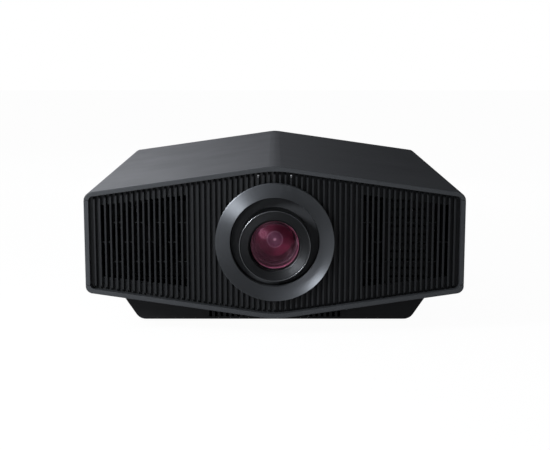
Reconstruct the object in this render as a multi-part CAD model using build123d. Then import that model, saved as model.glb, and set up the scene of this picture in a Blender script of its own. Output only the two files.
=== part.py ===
from build123d import *
from math import cos, pi, radians, sin, sqrt
import os

os.makedirs("parts", exist_ok=True)

# Housing: a six-sided tube lying along Y, front towards -Y, resting on feet at Z = 0
BODY_W = 460.0
BODY_D = 517.0
RIDGE_Z = 211.1
SHOULDER_Z = 178.1
HIP_Z = 56.0
KEEL_Z = 22.3
RIDGE_R = 50.0
SHOULDER_R = 11.0
HIP_R = 9.0
KEEL_R = 80.0
WALL = 3.0
FRONT_EDGE_R = 1.2
TOP_SEAM_Z = 169.5
LOW_SEAM_Z = 65.4
SEAM_GAP = 0.6
TONGUE_T = 3.0
TONGUE_H = 13.0
FIT = 0.25

# Mouth at the front, with a frame round the recessed grille
FRAME_W = 5.5
FRAME_D = 9.0
MOUTH_LIFT = 0.3
MOUTH_RIDGE_R = 138.0
MOUTH_CORNER_R = 6.0

# Ribbed panels
RIB_PITCH = 6.61
RIB_W = 2.6
RIB_DEPTH = 4.5
RIB_STEP = 3.3
RIB_EDGE = 0.5
RIB_TIP = 3.0
RIB_INSET = 1.2
GUIDE_R = 0.9
GUIDE_TALL = 0.8
PANEL_T = 3.0
REAR_RECESS = 9.0
VENT_GAPS = 16
VENT_MID_Z = 118.5
VENT_HALF_H = 57.0
VENT_SLOPE = 0.121
REAR_VENT_Z = 107.0
TIE_MID_Z = 117.1
TIE_H = 1.5
TIE_STEP = 24.1

# Perforated plate behind the right-hand vent
MESH_T = 1.0
MESH_SKIP = 3
MESH_GAPS = 9
MESH_HOLE_R = 1.6
MESH_MID_Z = 120.7
MESH_ROWS = 10
MESH_ROW_PITCH = 10.35

# Lens, its ring and the shift travel
LENS_OUT = 15.0
RING_Z = 118.0
RING_R = 72.0
RING_PROUD = 3.0
RING_DISH = 3.5
APERTURE_R = 54.5
SLEEVE_LEN = 8.0
SHIELD_R = 66.0
SHIELD_T = 2.0
SHIFT_UP = 8.5
SHIFT_DOWN = 4.5
SHIFT_SIDE = 5.0
LENS_DROP = 2.0
BARREL_R = 43.0
GLASS_R = 30.75
FRONT_DOME = 6.0
SECOND_DOME = 11.5
SECOND_BELLY = 4.0
TUBE_R = 36.0
TAIL_R = 26.0
RUN = 0.08

# Base pan and what stands under it
BASE_Z = 13.5
BASE_HALF_W = 169.3
BASE_FLARE = 0.673
BASE_CORNER_R = 14.0
BASE_FRONT_SET = 40.0
BASE_REAR_SET = 26.0
BASE_SLOTS = 12
INTAKE_SLOTS = 7
BASE_SLOT_PITCH = 7.0
BASE_SLOT_W = 3.5
FOOT_R = 15.0
FOOT_X = 140.0
FOOT_SET = 74.0
REAR_FOOT_SET = 45.0
STUD_R = 4.0
STUD_LEN = 26.0
MOUNT_X = 160.0
MOUNT_Y = 140.0
MOUNT_HOLE_R = 2.1
INSERT_R = 4.0
INSERT_LEN = 12.0
SCREW_R = 1.6
SCREW_LEN = 13.0
SCREW_HEAD_R = 3.4
SCREW_HEAD_H = 2.0

# Lens shift rods, screws and carriages, and the geared rings on the barrel
ROD_R = 4.0
ROD_X = 74.0
CROSS_ROD_R = 3.0
LIFT_SCREW_R = 3.0
CROSS_SCREW_R = 2.5
SHIFT_SET = 236.0
CARRIAGE_T = 12.0
CROSS_GAP = 8.0
CHEEK_T = 8.0
CROSS_HALF_W = 44.0
FRAME_BAR = 6.0
POST_T = 8.0
MOTOR_LEN = 14.0
RING_TEETH = 84
PINION_TEETH = 14
GEAR_MODULE = 1.0
GEAR_W = 10.0
GEAR_SHAFT_R = 1.5

# Chassis, optics, light source and boards
CHASSIS_Z = 56.0
CHASSIS_T = 2.0
CHASSIS_SET = 42.0
BOSS_R = 7.0
BOSS_SET = 22.0
OPTIC_SET = 30.0
OPTIC_HALF_W = 55.0
OPTIC_D = 95.0
OPTIC_H = 92.0
BAY_GAP = 40.0
LASER_W = 90.0
LASER_D = 120.0
LASER_H = 70.0
LASER_SET = 20.0
SINK_D = 60.0
WHEEL_R = 25.0
SUPPLY_W = 90.0
SUPPLY_D = 165.0
BOARD_T = 1.6
FAN_Z = 118.7
FAN_SIZE = 92.0
FAN_T = 25.0
FAN_SET = 74.0

# Controls on the right-hand side
KEYPAD_SET = 101.0
KEYPAD_Z = 112.0
KEYPAD_L = 96.0
KEYPAD_H = 30.0
KEYPAD_LIP = 4.0
KEY_TRAVEL = 0.8

# Sockets at the rear
SOCKET_HALF_W = 106.0
SOCKET_Z = 63.0
SOCKET_H = 30.0
HDMI_W, HDMI_H = 15.5, 6.6
LAN_W, LAN_H = 16.0, 13.5
USB_W, USB_H = 14.5, 7.2
SERIAL_W, SERIAL_H = 20.0, 11.5
JACK_R = 3.5
INLET_W, INLET_H, INLET_DEPTH = 30.0, 23.0, 17.0
INLET_CORNER = 5.0

FRONT_Y = LENS_OUT - (BODY_D + LENS_OUT) / 2
REAR_Y = (BODY_D + LENS_OUT) / 2
HALF_W = BODY_W / 2
ROOF = (RIDGE_Z - SHOULDER_Z) / HALF_W
KEEL = (HIP_Z - KEEL_Z) / HALF_W
LENS_Z = RING_Z - LENS_DROP
LENS_FRONT = FRONT_Y - LENS_OUT
SHIFT_Y = LENS_FRONT + SHIFT_SET
OPTIC_Y = SHIFT_Y + OPTIC_SET
PANEL_Y = FRONT_Y + FRAME_D
PANEL_BACK = PANEL_Y + PANEL_T
DECK_Z = CHASSIS_Z + CHASSIS_T
CHASSIS_HALF_W = HALF_W - CHASSIS_SET
FAN_X = HALF_W - FAN_SET
KEYPAD_Y = REAR_Y - KEYPAD_SET
RIB_SIDE = int((HALF_W - FRAME_W - RIB_W) / RIB_PITCH)


def block(x, y, z):
    size = [hi - lo for lo, hi in (x, y, z)]
    mid = [(hi + lo) / 2 for lo, hi in (x, y, z)]
    return Pos(*mid) * Box(*size)


def rod_x(radius, y, z, x0, x1):
    return Pos((x0 + x1) / 2, y, z) * Rot(0, 90, 0) * Cylinder(radius, x1 - x0)


def rod_y(radius, x, z, y0, y1):
    return Pos(x, (y0 + y1) / 2, z) * Rot(90, 0, 0) * Cylinder(radius, y1 - y0)


def rod_z(radius, x, y, z0, z1):
    return Pos(x, y, (z0 + z1) / 2) * Cylinder(radius, z1 - z0)


def along_y(face, y0, y1):
    return extrude(Plane((0, y1, 0), (1, 0, 0), (0, -1, 0)) * face, y1 - y0)


def turned(points, z):
    return Pos(0, 0, z) * revolve(make_face(Polyline(*points, close=True)), Axis.Y)


def roof_z(x, inset=0.0):
    return RIDGE_Z - inset * sqrt(1 + ROOF**2) - ROOF * abs(x)


def keel_z(x, inset=0.0):
    return KEEL_Z + inset * sqrt(1 + KEEL**2) + KEEL * abs(x)


def concentric(inset):
    return [max(radius - inset, 0.5) for radius in (RIDGE_R, SHOULDER_R, HIP_R, KEEL_R)]


def hexagon(inset, ridge_r, shoulder_r, hip_r, keel_r):
    half = HALF_W - inset
    right = [(0, keel_z(0, inset)), (half, keel_z(half, inset)), (half, roof_z(half, inset))]
    left = [(0, roof_z(0, inset)), (-half, roof_z(half, inset)), (-half, keel_z(half, inset))]
    face = make_face(Polyline(*right, *left, close=True))
    middle = (RIDGE_Z + KEEL_Z) / 2
    for high, centre, radius in (
        (True, True, ridge_r),
        (True, False, shoulder_r),
        (False, False, hip_r),
        (False, True, keel_r),
    ):
        corners = [
            v
            for v in face.vertices()
            if (v.Y > middle) == high
            and (abs(v.X) < 1) == centre
            and (centre or abs(abs(v.X) - half) < 0.01)
        ]
        face = fillet(corners, radius)
    return face


def solids(pieces):
    return Compound(children=list(pieces))


def save(node, shape):
    shape.label = node
    export_step(shape, f"parts/{node}.step")


# Housing shell: one six-sided tube cut along its side seams into four panels
mouth_r = (MOUTH_RIDGE_R, MOUTH_CORNER_R, MOUTH_CORNER_R, MOUTH_RIDGE_R)
tube = along_y(hexagon(0, *concentric(0)), FRONT_Y, REAR_Y)
tube = fillet(tube.edges().filter_by_position(Axis.Y, FRONT_Y - 0.01, FRONT_Y + 0.01), FRONT_EDGE_R)
filled = tube
tube -= along_y(hexagon(WALL, *concentric(WALL)), PANEL_Y, REAR_Y + 1)
tube -= Pos(0, 0, MOUTH_LIFT) * along_y(hexagon(FRAME_W, *mouth_r), FRONT_Y - 1, PANEL_Y + 1)

far = BODY_W + BODY_D


def between(shape, z0, z1):
    return shape & block((-far, far), (-far, far), (z0, z1))


high_cut = TOP_SEAM_Z + SEAM_GAP / 2
low_cut = LOW_SEAM_Z - SEAM_GAP / 2
top_cover = between(tube, high_cut, far)
lower_cover = between(tube, 0, low_cut)
side_panels = between(tube, LOW_SEAM_Z + SEAM_GAP / 2, TOP_SEAM_Z - SEAM_GAP / 2)

# Tongues of the top and lower covers that reach behind the side panels
tongue_y = (PANEL_BACK + 3, REAR_Y - REAR_RECESS - PANEL_T - 3)
tongue_in_r = WALL + FIT + TONGUE_T
tongue_core = hexagon(tongue_in_r, *concentric(tongue_in_r))
tongue_ring = along_y(hexagon(WALL + FIT, *concentric(WALL + FIT)) - tongue_core, *tongue_y)
tongue_root = along_y(hexagon(WALL / 2, *concentric(WALL / 2)) - tongue_core, *tongue_y)
top_cover += between(tongue_ring, TOP_SEAM_Z - TONGUE_H, high_cut)
top_cover += between(tongue_root, high_cut, high_cut + TONGUE_T)
lower_cover += between(tongue_ring, low_cut, LOW_SEAM_Z + TONGUE_H)
lower_cover += between(tongue_root, low_cut - TONGUE_T, low_cut)

# Bosses on the floor of the lower cover that carry the chassis, with screw holes
boss_x = CHASSIS_HALF_W - BOSS_SET
boss_rows = [FRONT_Y + 95, OPTIC_Y, REAR_Y - 100]
boss_spots = [(side * boss_x, y) for side in (1, -1) for y in boss_rows]
for x, y in boss_spots:
    lower_cover += rod_z(BOSS_R, x, y, keel_z(boss_x - BOSS_R, WALL / 2), CHASSIS_Z)
for x, y in boss_spots:
    lower_cover -= rod_z(1.95, x, y, keel_z(boss_x, WALL / 2), CHASSIS_Z + 1)

keypad_y = (KEYPAD_Y - KEYPAD_L / 2, KEYPAD_Y + KEYPAD_L / 2)
keypad_z = (KEYPAD_Z - KEYPAD_H / 2, KEYPAD_Z + KEYPAD_H / 2)
left_side_panel = side_panels & block((-far, 0), (-far, far), (0, far))
right_side_panel = side_panels & block((0, far), (-far, far), (0, far))
right_side_panel -= block((HALF_W - WALL - 1, HALF_W + 1), keypad_y, keypad_z)


# Ribbed panel in its own place: valley plane at Y = 0, ribs standing towards -Y
def ribbed_panel():
    crest = -RIB_DEPTH
    right = [(0, crest)]
    for n in range(RIB_SIDE + 1):
        inner, outer = n * RIB_PITCH - RIB_W / 2, n * RIB_PITCH + RIB_W / 2
        if n:
            right += [(inner, 0), (inner, crest + RIB_EDGE), (inner + RIB_EDGE, crest)]
        right += [(outer - RIB_EDGE, crest), (outer, crest + RIB_EDGE), (outer, crest + RIB_STEP)]
    right += [(HALF_W, 0), (HALF_W, PANEL_T / 2)]
    left = [(-x, y) for x, y in reversed(right[1:])]
    comb = extrude(make_face(Polyline(*right, *left, close=True)), RIDGE_Z)
    zone_r = (MOUTH_RIDGE_R, MOUTH_CORNER_R - 1, MOUTH_CORNER_R - 1, MOUTH_RIDGE_R)
    zone = along_y(hexagon(FRAME_W + RIB_INSET, *zone_r), crest, PANEL_T / 2)
    zone = chamfer(zone.edges().filter_by_position(Axis.Y, crest - 0.01, crest + 0.01), RIB_TIP)
    plate = along_y(hexagon(WALL + FIT, *concentric(WALL + FIT)), 0, PANEL_T)
    return (comb & zone) + plate


# Open gaps between ribs on one side above a given height, broken by staggered ties
def vent_slots(side, bottom=0.0):
    cutters = []
    width = RIB_PITCH - RIB_W - 0.2
    start = (RIB_SIDE - 1.5 - VENT_GAPS) * RIB_PITCH
    for k in range(VENT_GAPS):
        x = (RIB_SIDE - 1.5 - k) * RIB_PITCH
        half = VENT_HALF_H - VENT_SLOPE * (x - start)
        ties = [0] if k % 4 < 2 else [-TIE_STEP, TIE_STEP]
        edges = [VENT_MID_Z - half]
        for tie in ties:
            edges += [TIE_MID_Z + tie - TIE_H / 2, TIE_MID_Z + tie + TIE_H / 2]
        edges.append(VENT_MID_Z + half)
        across = (side * x - width / 2, side * x + width / 2)
        for low, high in zip(edges[::2], edges[1::2]):
            if high > bottom:
                cutters.append(block(across, (-RIB_STEP - 0.5, PANEL_T + 1), (max(low, bottom), high)))
    return cutters


panel = ribbed_panel()
front_vents = vent_slots(1) + vent_slots(-1)
rear_vents = vent_slots(1, REAR_VENT_Z) + vent_slots(-1, REAR_VENT_Z)

# Front grille with the lens hole and two light-guide holes at the top
light_x = 3 * RIB_PITCH
light_z = roof_z(light_x, FRAME_W + RIB_INSET) - RIB_TIP - 0.4


# Upright oval pin for a light guide, or the hole that takes it
def guide_pin(radius, x, y0, y1):
    ends = [light_z - GUIDE_TALL, light_z + GUIDE_TALL]
    pin = block((x - radius, x + radius), (y0, y1), ends)
    for z in ends:
        pin += rod_y(radius, x, z, y0, y1)
    return pin


front_grille = Pos(0, PANEL_Y, 0) * (panel - front_vents)
front_grille -= rod_y(RING_R - 2, 0, RING_Z, FRONT_Y, PANEL_BACK + 1)
for side in (1, -1):
    front_grille -= guide_pin(GUIDE_R + 0.1, side * light_x, FRONT_Y, PANEL_BACK + 1)
indicator_light_guides = solids(
    guide_pin(GUIDE_R, side * light_x, PANEL_Y - RIB_DEPTH - 0.2, PANEL_BACK + 2)
    + guide_pin(2 * GUIDE_R, side * light_x, PANEL_BACK, PANEL_BACK + 2)
    for side in (1, -1)
)

# Perforated plate behind part of the right-hand vent
mesh_first = RIB_SIDE - 1 - MESH_SKIP - MESH_GAPS
mesh_x = (mesh_first * RIB_PITCH, (mesh_first + MESH_GAPS) * RIB_PITCH)
mesh_z = (VENT_MID_Z - VENT_HALF_H - 2, VENT_MID_Z + VENT_HALF_H + 2)
vent_mesh_plate = block(mesh_x, (PANEL_BACK, PANEL_BACK + MESH_T), mesh_z)
for column in range(1, MESH_GAPS - 1):
    for row in range(MESH_ROWS):
        hole_x = (mesh_first + column + 0.5) * RIB_PITCH
        hole_z = MESH_MID_Z + (row - (MESH_ROWS - 1) / 2) * MESH_ROW_PITCH
        vent_mesh_plate -= rod_y(MESH_HOLE_R, hole_x, hole_z, PANEL_BACK - 1, PANEL_BACK + MESH_T + 1)

# Lens ring: a turned, dished ring in front of the ribs, with a collar through the grille
ring_back = PANEL_Y - RIB_DEPTH - FIT
ring_front = FRONT_Y - RING_PROUD
collar_r = RING_R - 2.5
seat_r = collar_r - 7.5
seat_y = ring_front + RING_DISH + 6
lens_ring = turned(
    [
        (APERTURE_R, ring_front + RING_DISH),
        (RING_R - 0.8, ring_front),
        (RING_R, ring_front + 0.8),
        (RING_R, ring_back),
        (collar_r, ring_back),
        (collar_r, PANEL_BACK),
        (seat_r, PANEL_BACK),
        (seat_r, seat_y),
        (APERTURE_R, seat_y),
    ],
    RING_Z,
)
lens_aperture_sleeve = turned(
    [
        (APERTURE_R, seat_y),
        (seat_r - RUN, seat_y),
        (seat_r - RUN, seat_y + 6),
        (APERTURE_R + 2, seat_y + 6),
        (APERTURE_R + 1, seat_y + SLEEVE_LEN),
        (APERTURE_R - 1, seat_y + SLEEVE_LEN),
    ],
    RING_Z,
)

# Base pan: a flared tray closed by the lower cover above it
base_y = (FRONT_Y + BASE_FRONT_SET, REAR_Y - BASE_REAR_SET)
base_top = keel_z(HALF_W) + 2


def base_profile(inset):
    low = BASE_Z + inset
    half = BASE_HALF_W + BASE_FLARE * inset - inset * sqrt(1 + BASE_FLARE**2)
    top = half + BASE_FLARE * (base_top - low)
    face = make_face(Polyline((-half, low), (half, low), (top, base_top), (-top, base_top), close=True))
    return fillet(face.vertices().group_by(Axis.Y)[0], BASE_CORNER_R - inset)


base_outer = along_y(base_profile(0), *base_y)
base_pan = base_outer - along_y(base_profile(WALL), base_y[0] + WALL, base_y[1] - WALL)
foot_spots = [(side * FOOT_X, base_y[0] + FOOT_SET) for side in (1, -1)]
mount_spots = [(sx * MOUNT_X / 2, sy * MOUNT_Y / 2) for sx in (1, -1) for sy in (1, -1)]
base_screw_rows = (base_y[0] + 25, base_y[1] - 18)
base_screw_spots = [(side * FOOT_X * 0.8, y) for side in (1, -1) for y in base_screw_rows]
for x, y in foot_spots:
    base_pan += rod_z(STUD_R + 5, x, y, BASE_Z, base_top)
for x, y in mount_spots:
    base_pan += rod_z(2 * INSERT_R, x, y, BASE_Z, base_top)
for x, y in base_screw_spots:
    base_pan += rod_z(SCREW_R + 3.4, x, y, BASE_Z, base_top)
base_pan = (base_pan & base_outer) - filled
for x, y in foot_spots:
    base_pan -= rod_z(STUD_R + RUN, x, y, BASE_Z - 1, BASE_Z + STUD_LEN + 2)
for x, y in mount_spots:
    base_pan -= rod_z(INSERT_R + RUN, x, y, BASE_Z - 1, BASE_Z + INSERT_LEN)
for x, y in base_screw_spots:
    base_pan -= rod_z(SCREW_R + RUN, x, y, BASE_Z - 1, BASE_Z + SCREW_LEN + 1)

front_slots = []
intake_slots = []
intake_half = MOUNT_Y / 2 - 20
for side in (1, -1):
    for n in range(BASE_SLOTS):
        x = side * (n + 0.5) * BASE_SLOT_PITCH
        across = (x - BASE_SLOT_W / 2, x + BASE_SLOT_W / 2)
        top = keel_z(abs(x) - BASE_SLOT_W / 2) - 1.5
        if top > BASE_Z + WALL + 1:
            front_slots.append(block(across, (base_y[0] - 1, base_y[0] + WALL + 1), (BASE_Z + WALL, top)))
        if n < INTAKE_SLOTS:
            intake_slots.append(block(across, (-intake_half, intake_half), (BASE_Z - 1, BASE_Z + WALL + 1)))
base_pan -= front_slots + intake_slots

ceiling_mount_inserts = solids(
    rod_z(INSERT_R, x, y, BASE_Z, BASE_Z + INSERT_LEN)
    - rod_z(MOUNT_HOLE_R, x, y, BASE_Z - 1, BASE_Z + INSERT_LEN - 1)
    for x, y in mount_spots
)
base_screws = solids(
    rod_z(SCREW_HEAD_R, x, y, BASE_Z - SCREW_HEAD_H, BASE_Z)
    + rod_z(SCREW_R, x, y, BASE_Z - SCREW_HEAD_H, BASE_Z + SCREW_LEN)
    for x, y in base_screw_spots
)
rear_foot_y = base_y[1] - REAR_FOOT_SET
rear_feet = solids(
    chamfer(rod_z(FOOT_R, side * FOOT_X, rear_foot_y, 0, BASE_Z).edges().group_by(Axis.Z)[0], 1.2)
    for side in (1, -1)
)


# Levelling foot: rubber pad and grip wheel on a stud that turns down out of the base
def levelling_foot(x, y):
    pad = chamfer(rod_z(FOOT_R, x, y, 0, BASE_Z - FIT).edges().group_by(Axis.Z)[0], 1.2)
    return pad + rod_z(STUD_R, x, y, BASE_Z - 1, BASE_Z + STUD_LEN)


# Chassis plate on the bosses, with its screw holes and a notch for the lens
deck_y = (PANEL_BACK + 6, REAR_Y - REAR_RECESS - PANEL_T - 8)
chassis_plate = block((-CHASSIS_HALF_W, CHASSIS_HALF_W), deck_y, (CHASSIS_Z, DECK_Z))
notch_x = SHIELD_R + SHIFT_SIDE + 2
notch_y = seat_y + SLEEVE_LEN + SHIELD_T + 6
chassis_plate -= block((-notch_x, notch_x), (deck_y[0] - 1, notch_y), (CHASSIS_Z - 1, DECK_Z + 1))
for x, y in boss_spots:
    chassis_plate -= rod_z(2.3, x, y, CHASSIS_Z - 1, DECK_Z + 1)

# Lens shift: a fixed frame with upright rods, a lifting carriage and a cross carriage
port_half_w = TAIL_R + SHIFT_SIDE + 3
port_half_h = TAIL_R + 2
lift_screw_x = -(port_half_w + ROD_X - ROD_R) / 2
lift_half_h = port_half_h + 12
lift_half_w = ROD_X + ROD_R + 4
post_x = lift_half_w + 2
cross_rod_z = port_half_h + CROSS_ROD_R
cross_screw_z = -(cross_rod_z + CROSS_ROD_R + CROSS_SCREW_R + 2.5)
cheek_z = (LENS_Z + cross_screw_z - CROSS_SCREW_R - 4.5, LENS_Z + cross_rod_z + CROSS_ROD_R + 4)
cheek_x = (ROD_X - ROD_R - CHEEK_T, ROD_X - ROD_R)
lift_y = (SHIFT_Y - CARRIAGE_T / 2, SHIFT_Y + CARRIAGE_T / 2)
cross_y = (lift_y[0] - CROSS_GAP - CARRIAGE_T, lift_y[0] - CROSS_GAP)
cross_mid = sum(cross_y) / 2
sill_z = cheek_z[0] - SHIFT_DOWN - 1.5
frame_top = LENS_Z + lift_half_h + SHIFT_UP + 3.5
frame_y = (lift_y[0] - 4, lift_y[1] + 4)

lens_shift_frame = block((-post_x - POST_T, post_x + POST_T), frame_y, (DECK_Z, frame_top + FRAME_BAR))
lens_shift_frame -= block((-post_x, post_x), (frame_y[0] - 1, frame_y[1] + 1), (sill_z, frame_top))
rod_foot = (DECK_Z + sill_z) / 2
for x, radius in ((ROD_X, ROD_R), (-ROD_X, ROD_R), (lift_screw_x, LIFT_SCREW_R + RUN)):
    lens_shift_frame -= rod_z(radius, x, SHIFT_Y, rod_foot, frame_top + FRAME_BAR + 1)
upright_guide_rods = solids(
    rod_z(ROD_R, side * ROD_X, SHIFT_Y, rod_foot, frame_top + FRAME_BAR) for side in (1, -1)
)
motor_z = frame_top + FRAME_BAR
lift_screw = rod_z(LIFT_SCREW_R, lift_screw_x, SHIFT_Y, rod_foot + 0.2, motor_z + 2)
lift_motor = rod_z(3 * LIFT_SCREW_R, lift_screw_x, SHIFT_Y, motor_z, motor_z + MOTOR_LEN)
lift_motor -= rod_z(LIFT_SCREW_R + RUN, lift_screw_x, SHIFT_Y, motor_z - 1, motor_z + 3)

lift_carriage = block((-lift_half_w, lift_half_w), lift_y, (LENS_Z - lift_half_h, LENS_Z + lift_half_h))
lift_carriage -= block(
    (-port_half_w, port_half_w),
    (lift_y[0] - 1, lift_y[1] + 1),
    (LENS_Z - port_half_h, LENS_Z + port_half_h),
)
for x in (cheek_x, (-cheek_x[1], -cheek_x[0])):
    lift_carriage += block(x, (cross_y[0], lift_y[0] + 1), cheek_z)
for x, radius in ((ROD_X, ROD_R), (-ROD_X, ROD_R), (lift_screw_x, LIFT_SCREW_R)):
    lift_carriage -= rod_z(radius + RUN, x, SHIFT_Y, DECK_Z, frame_top)
for dz in (cross_rod_z, -cross_rod_z):
    lift_carriage -= rod_x(CROSS_ROD_R, cross_mid, LENS_Z + dz, -post_x, post_x)
lift_carriage -= rod_x(CROSS_SCREW_R + RUN, cross_mid, LENS_Z + cross_screw_z, -post_x, post_x)
cross_guide_rods = solids(
    rod_x(CROSS_ROD_R, cross_mid, LENS_Z + dz, -cheek_x[1], cheek_x[1]) for dz in (cross_rod_z, -cross_rod_z)
)
screw_z = LENS_Z + cross_screw_z
cross_screw = rod_x(CROSS_SCREW_R, cross_mid, screw_z, -cheek_x[1] - 2, cheek_x[1])
cross_motor = rod_x(2.8 * CROSS_SCREW_R, cross_mid, screw_z, -cheek_x[1] - MOTOR_LEN, -cheek_x[1])
cross_motor -= rod_x(CROSS_SCREW_R + RUN, cross_mid, screw_z, -cheek_x[1] - 3, -cheek_x[1] + 1)

cross_z = (LENS_Z + cross_screw_z - CROSS_SCREW_R - 2.5, cheek_z[1])
cross_carriage = block((-CROSS_HALF_W, CROSS_HALF_W), cross_y, cross_z)
cross_carriage -= rod_y(TAIL_R + RUN, 0, LENS_Z, cross_y[0] - 1, cross_y[1] + 1)
for dz in (cross_rod_z, -cross_rod_z):
    cross_carriage -= rod_x(CROSS_ROD_R + RUN, cross_mid, LENS_Z + dz, -post_x, post_x)
cross_carriage -= rod_x(CROSS_SCREW_R + RUN, cross_mid, LENS_Z + cross_screw_z, -post_x, post_x)

# Lens: stepped barrel with two glasses, a front retaining ring and two geared rings
rim_y = LENS_FRONT + 7
step_y = LENS_FRONT + 70
shield_y = seat_y + SLEEVE_LEN + 1.5
tail_end = lift_y[1] + 18
lens_retaining_ring = turned(
    [
        (GLASS_R, LENS_FRONT + 2.2),
        (GLASS_R + 1.6, LENS_FRONT + 1.2),
        (GLASS_R + 1.6, LENS_FRONT),
        (BARREL_R - 0.8, LENS_FRONT),
        (BARREL_R, LENS_FRONT + 0.8),
        (BARREL_R, rim_y),
        (GLASS_R, rim_y),
    ],
    LENS_Z,
)
focus_y = step_y + 46
zoom_y = focus_y + 4 * GEAR_W
collar = TUBE_R + 2.5


def tube_collars(y):
    low = [(TUBE_R, y - 1.5), (collar, y - 1.5), (collar, y - 0.2), (TUBE_R, y - 0.2)]
    end = y + GEAR_W
    return low + [(TUBE_R, end + 0.2), (collar, end + 0.2), (collar, end + 1.5), (TUBE_R, end + 1.5)]


rim_r = GLASS_R + 2.25
second_y = LENS_FRONT + 38
second_r = GLASS_R - 2
tail_bore = TAIL_R - 6
lens_barrel = turned(
    [
        (rim_r + RUN, rim_y),
        (BARREL_R, rim_y),
        (BARREL_R, shield_y),
        (SHIELD_R, shield_y),
        (SHIELD_R, shield_y + SHIELD_T),
        (BARREL_R, shield_y + SHIELD_T),
        (BARREL_R, step_y),
        (TUBE_R, step_y + 2),
        *tube_collars(focus_y),
        *tube_collars(zoom_y),
        (TUBE_R, cross_y[0]),
        (TAIL_R, cross_y[0]),
        (TAIL_R, tail_end),
        (tail_bore, tail_end),
        (tail_bore, second_y),
        (second_r, second_y),
        (second_r, rim_y + 5),
        (rim_r + RUN, rim_y + 5),
    ],
    LENS_Z,
)


def dome(radius, height):
    return (radius**2 + height**2) / (2 * height)


# Glass with a spherical front standing out of a flat rim
def lens_glass(rim_r, dome_r, height, y0, y1):
    ball = dome(dome_r, height)
    disc = rod_y(rim_r, 0, LENS_Z, y0, y1)
    cap = Pos(0, y0 - height + ball, LENS_Z) * Sphere(ball)
    return disc + (cap & rod_y(dome_r, 0, LENS_Z, y0 - height - 1, y0 + 0.5))


front_glass = lens_glass(rim_r, GLASS_R - 0.3, FRONT_DOME, rim_y, rim_y + 5)
second_glass = lens_glass(second_r - RUN, second_r - 3, SECOND_DOME, second_y - 6, second_y)
belly = dome(tail_bore - 0.5, SECOND_BELLY)
second_glass += (Pos(0, second_y + SECOND_BELLY - belly, LENS_Z) * Sphere(belly)) & rod_y(
    tail_bore - 0.5, 0, LENS_Z, second_y - 0.5, second_y + SECOND_BELLY + 1
)


# Spur gear about Y with straight-flanked teeth, one tooth centred on the given angle
def gear(teeth, angle, y0, y1):
    pitch = 2 * pi / teeth
    root, tip = (teeth / 2 - 1.15) * GEAR_MODULE, (teeth / 2 + 0.9) * GEAR_MODULE
    points = []
    for k in range(teeth):
        for radius, shift in ((root, -0.31), (tip, -0.11), (tip, 0.11), (root, 0.31)):
            turn = angle + (k + shift) * pitch
            points.append((radius * cos(turn), radius * sin(turn)))
    return along_y(make_face(Polyline(*points, close=True)), y0, y1)


gear_gap = (RING_TEETH + PINION_TEETH) * GEAR_MODULE / 2 + 0.1


# Geared ring, its pinion and motor at one angle round the barrel, with the lug that holds the motor
def ring_drive(y, degrees):
    angle = radians(degrees)
    x, z = gear_gap * cos(angle), LENS_Z + gear_gap * sin(angle)
    end = y + GEAR_W
    ring = Pos(0, 0, LENS_Z) * gear(RING_TEETH, angle, y, end)
    ring -= rod_y(TUBE_R + RUN, 0, LENS_Z, y - 1, end + 1)
    pinion = Pos(x, 0, z) * gear(PINION_TEETH, angle + pi + pi / PINION_TEETH, y, end)
    pinion += rod_y(GEAR_SHAFT_R, x, z, y, end + 9)
    motor = rod_y(8.0, x, z, end + 6, end + 6 + MOTOR_LEN)
    motor -= rod_y(GEAR_SHAFT_R + RUN, x, z, end + 5, end + 10)
    lug = Box(gear_gap + 9 - TUBE_R + 2, 4, 16, align=(Align.MIN, Align.MIN, Align.CENTER))
    lug = Pos(0, end + 2, LENS_Z) * Rot(0, -degrees, 0) * Pos(TUBE_R - 2, 0, 0) * lug
    lug -= rod_y(GEAR_SHAFT_R + RUN, x, z, end, end + 8)
    return ring, pinion, motor, lug


focus_ring, focus_pinion, focus_motor, focus_lug = ring_drive(focus_y, 45)
zoom_ring, zoom_pinion, zoom_motor, zoom_lug = ring_drive(zoom_y, 135)
lens_barrel += focus_lug + zoom_lug

# Optical block with its lens port, and three cooled imaging panels on its faces
optic_y = (OPTIC_Y, OPTIC_Y + OPTIC_D)
optic_z = (DECK_Z, DECK_Z + OPTIC_H)
optical_block = chamfer(
    block((-OPTIC_HALF_W, OPTIC_HALF_W), optic_y, optic_z).edges().filter_by(Axis.Z), 8
)
optical_block -= rod_y(TAIL_R, 0, LENS_Z, OPTIC_Y - 1, OPTIC_Y + 10)


# Panel on a face: plate at local X = 0 with fins standing towards +X
def imaging_panel():
    panel_block = Box(4, 50, 60, align=(Align.MIN, Align.CENTER, Align.CENTER))
    for k in range(7):
        fin = Box(15, 1.6, 60, align=(Align.MIN, Align.CENTER, Align.CENTER))
        panel_block += Pos(3, (k - 3) * 7.5, 0) * fin
    return panel_block


side_panel_y = OPTIC_Y + 0.4 * OPTIC_D
imaging_panels = solids(
    [
        Pos(OPTIC_HALF_W, side_panel_y, LENS_Z) * imaging_panel(),
        Pos(-OPTIC_HALF_W, side_panel_y, LENS_Z) * Rot(0, 0, 180) * imaging_panel(),
        Pos(0, optic_y[1], LENS_Z) * Rot(0, 0, 90) * imaging_panel(),
    ]
)

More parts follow.
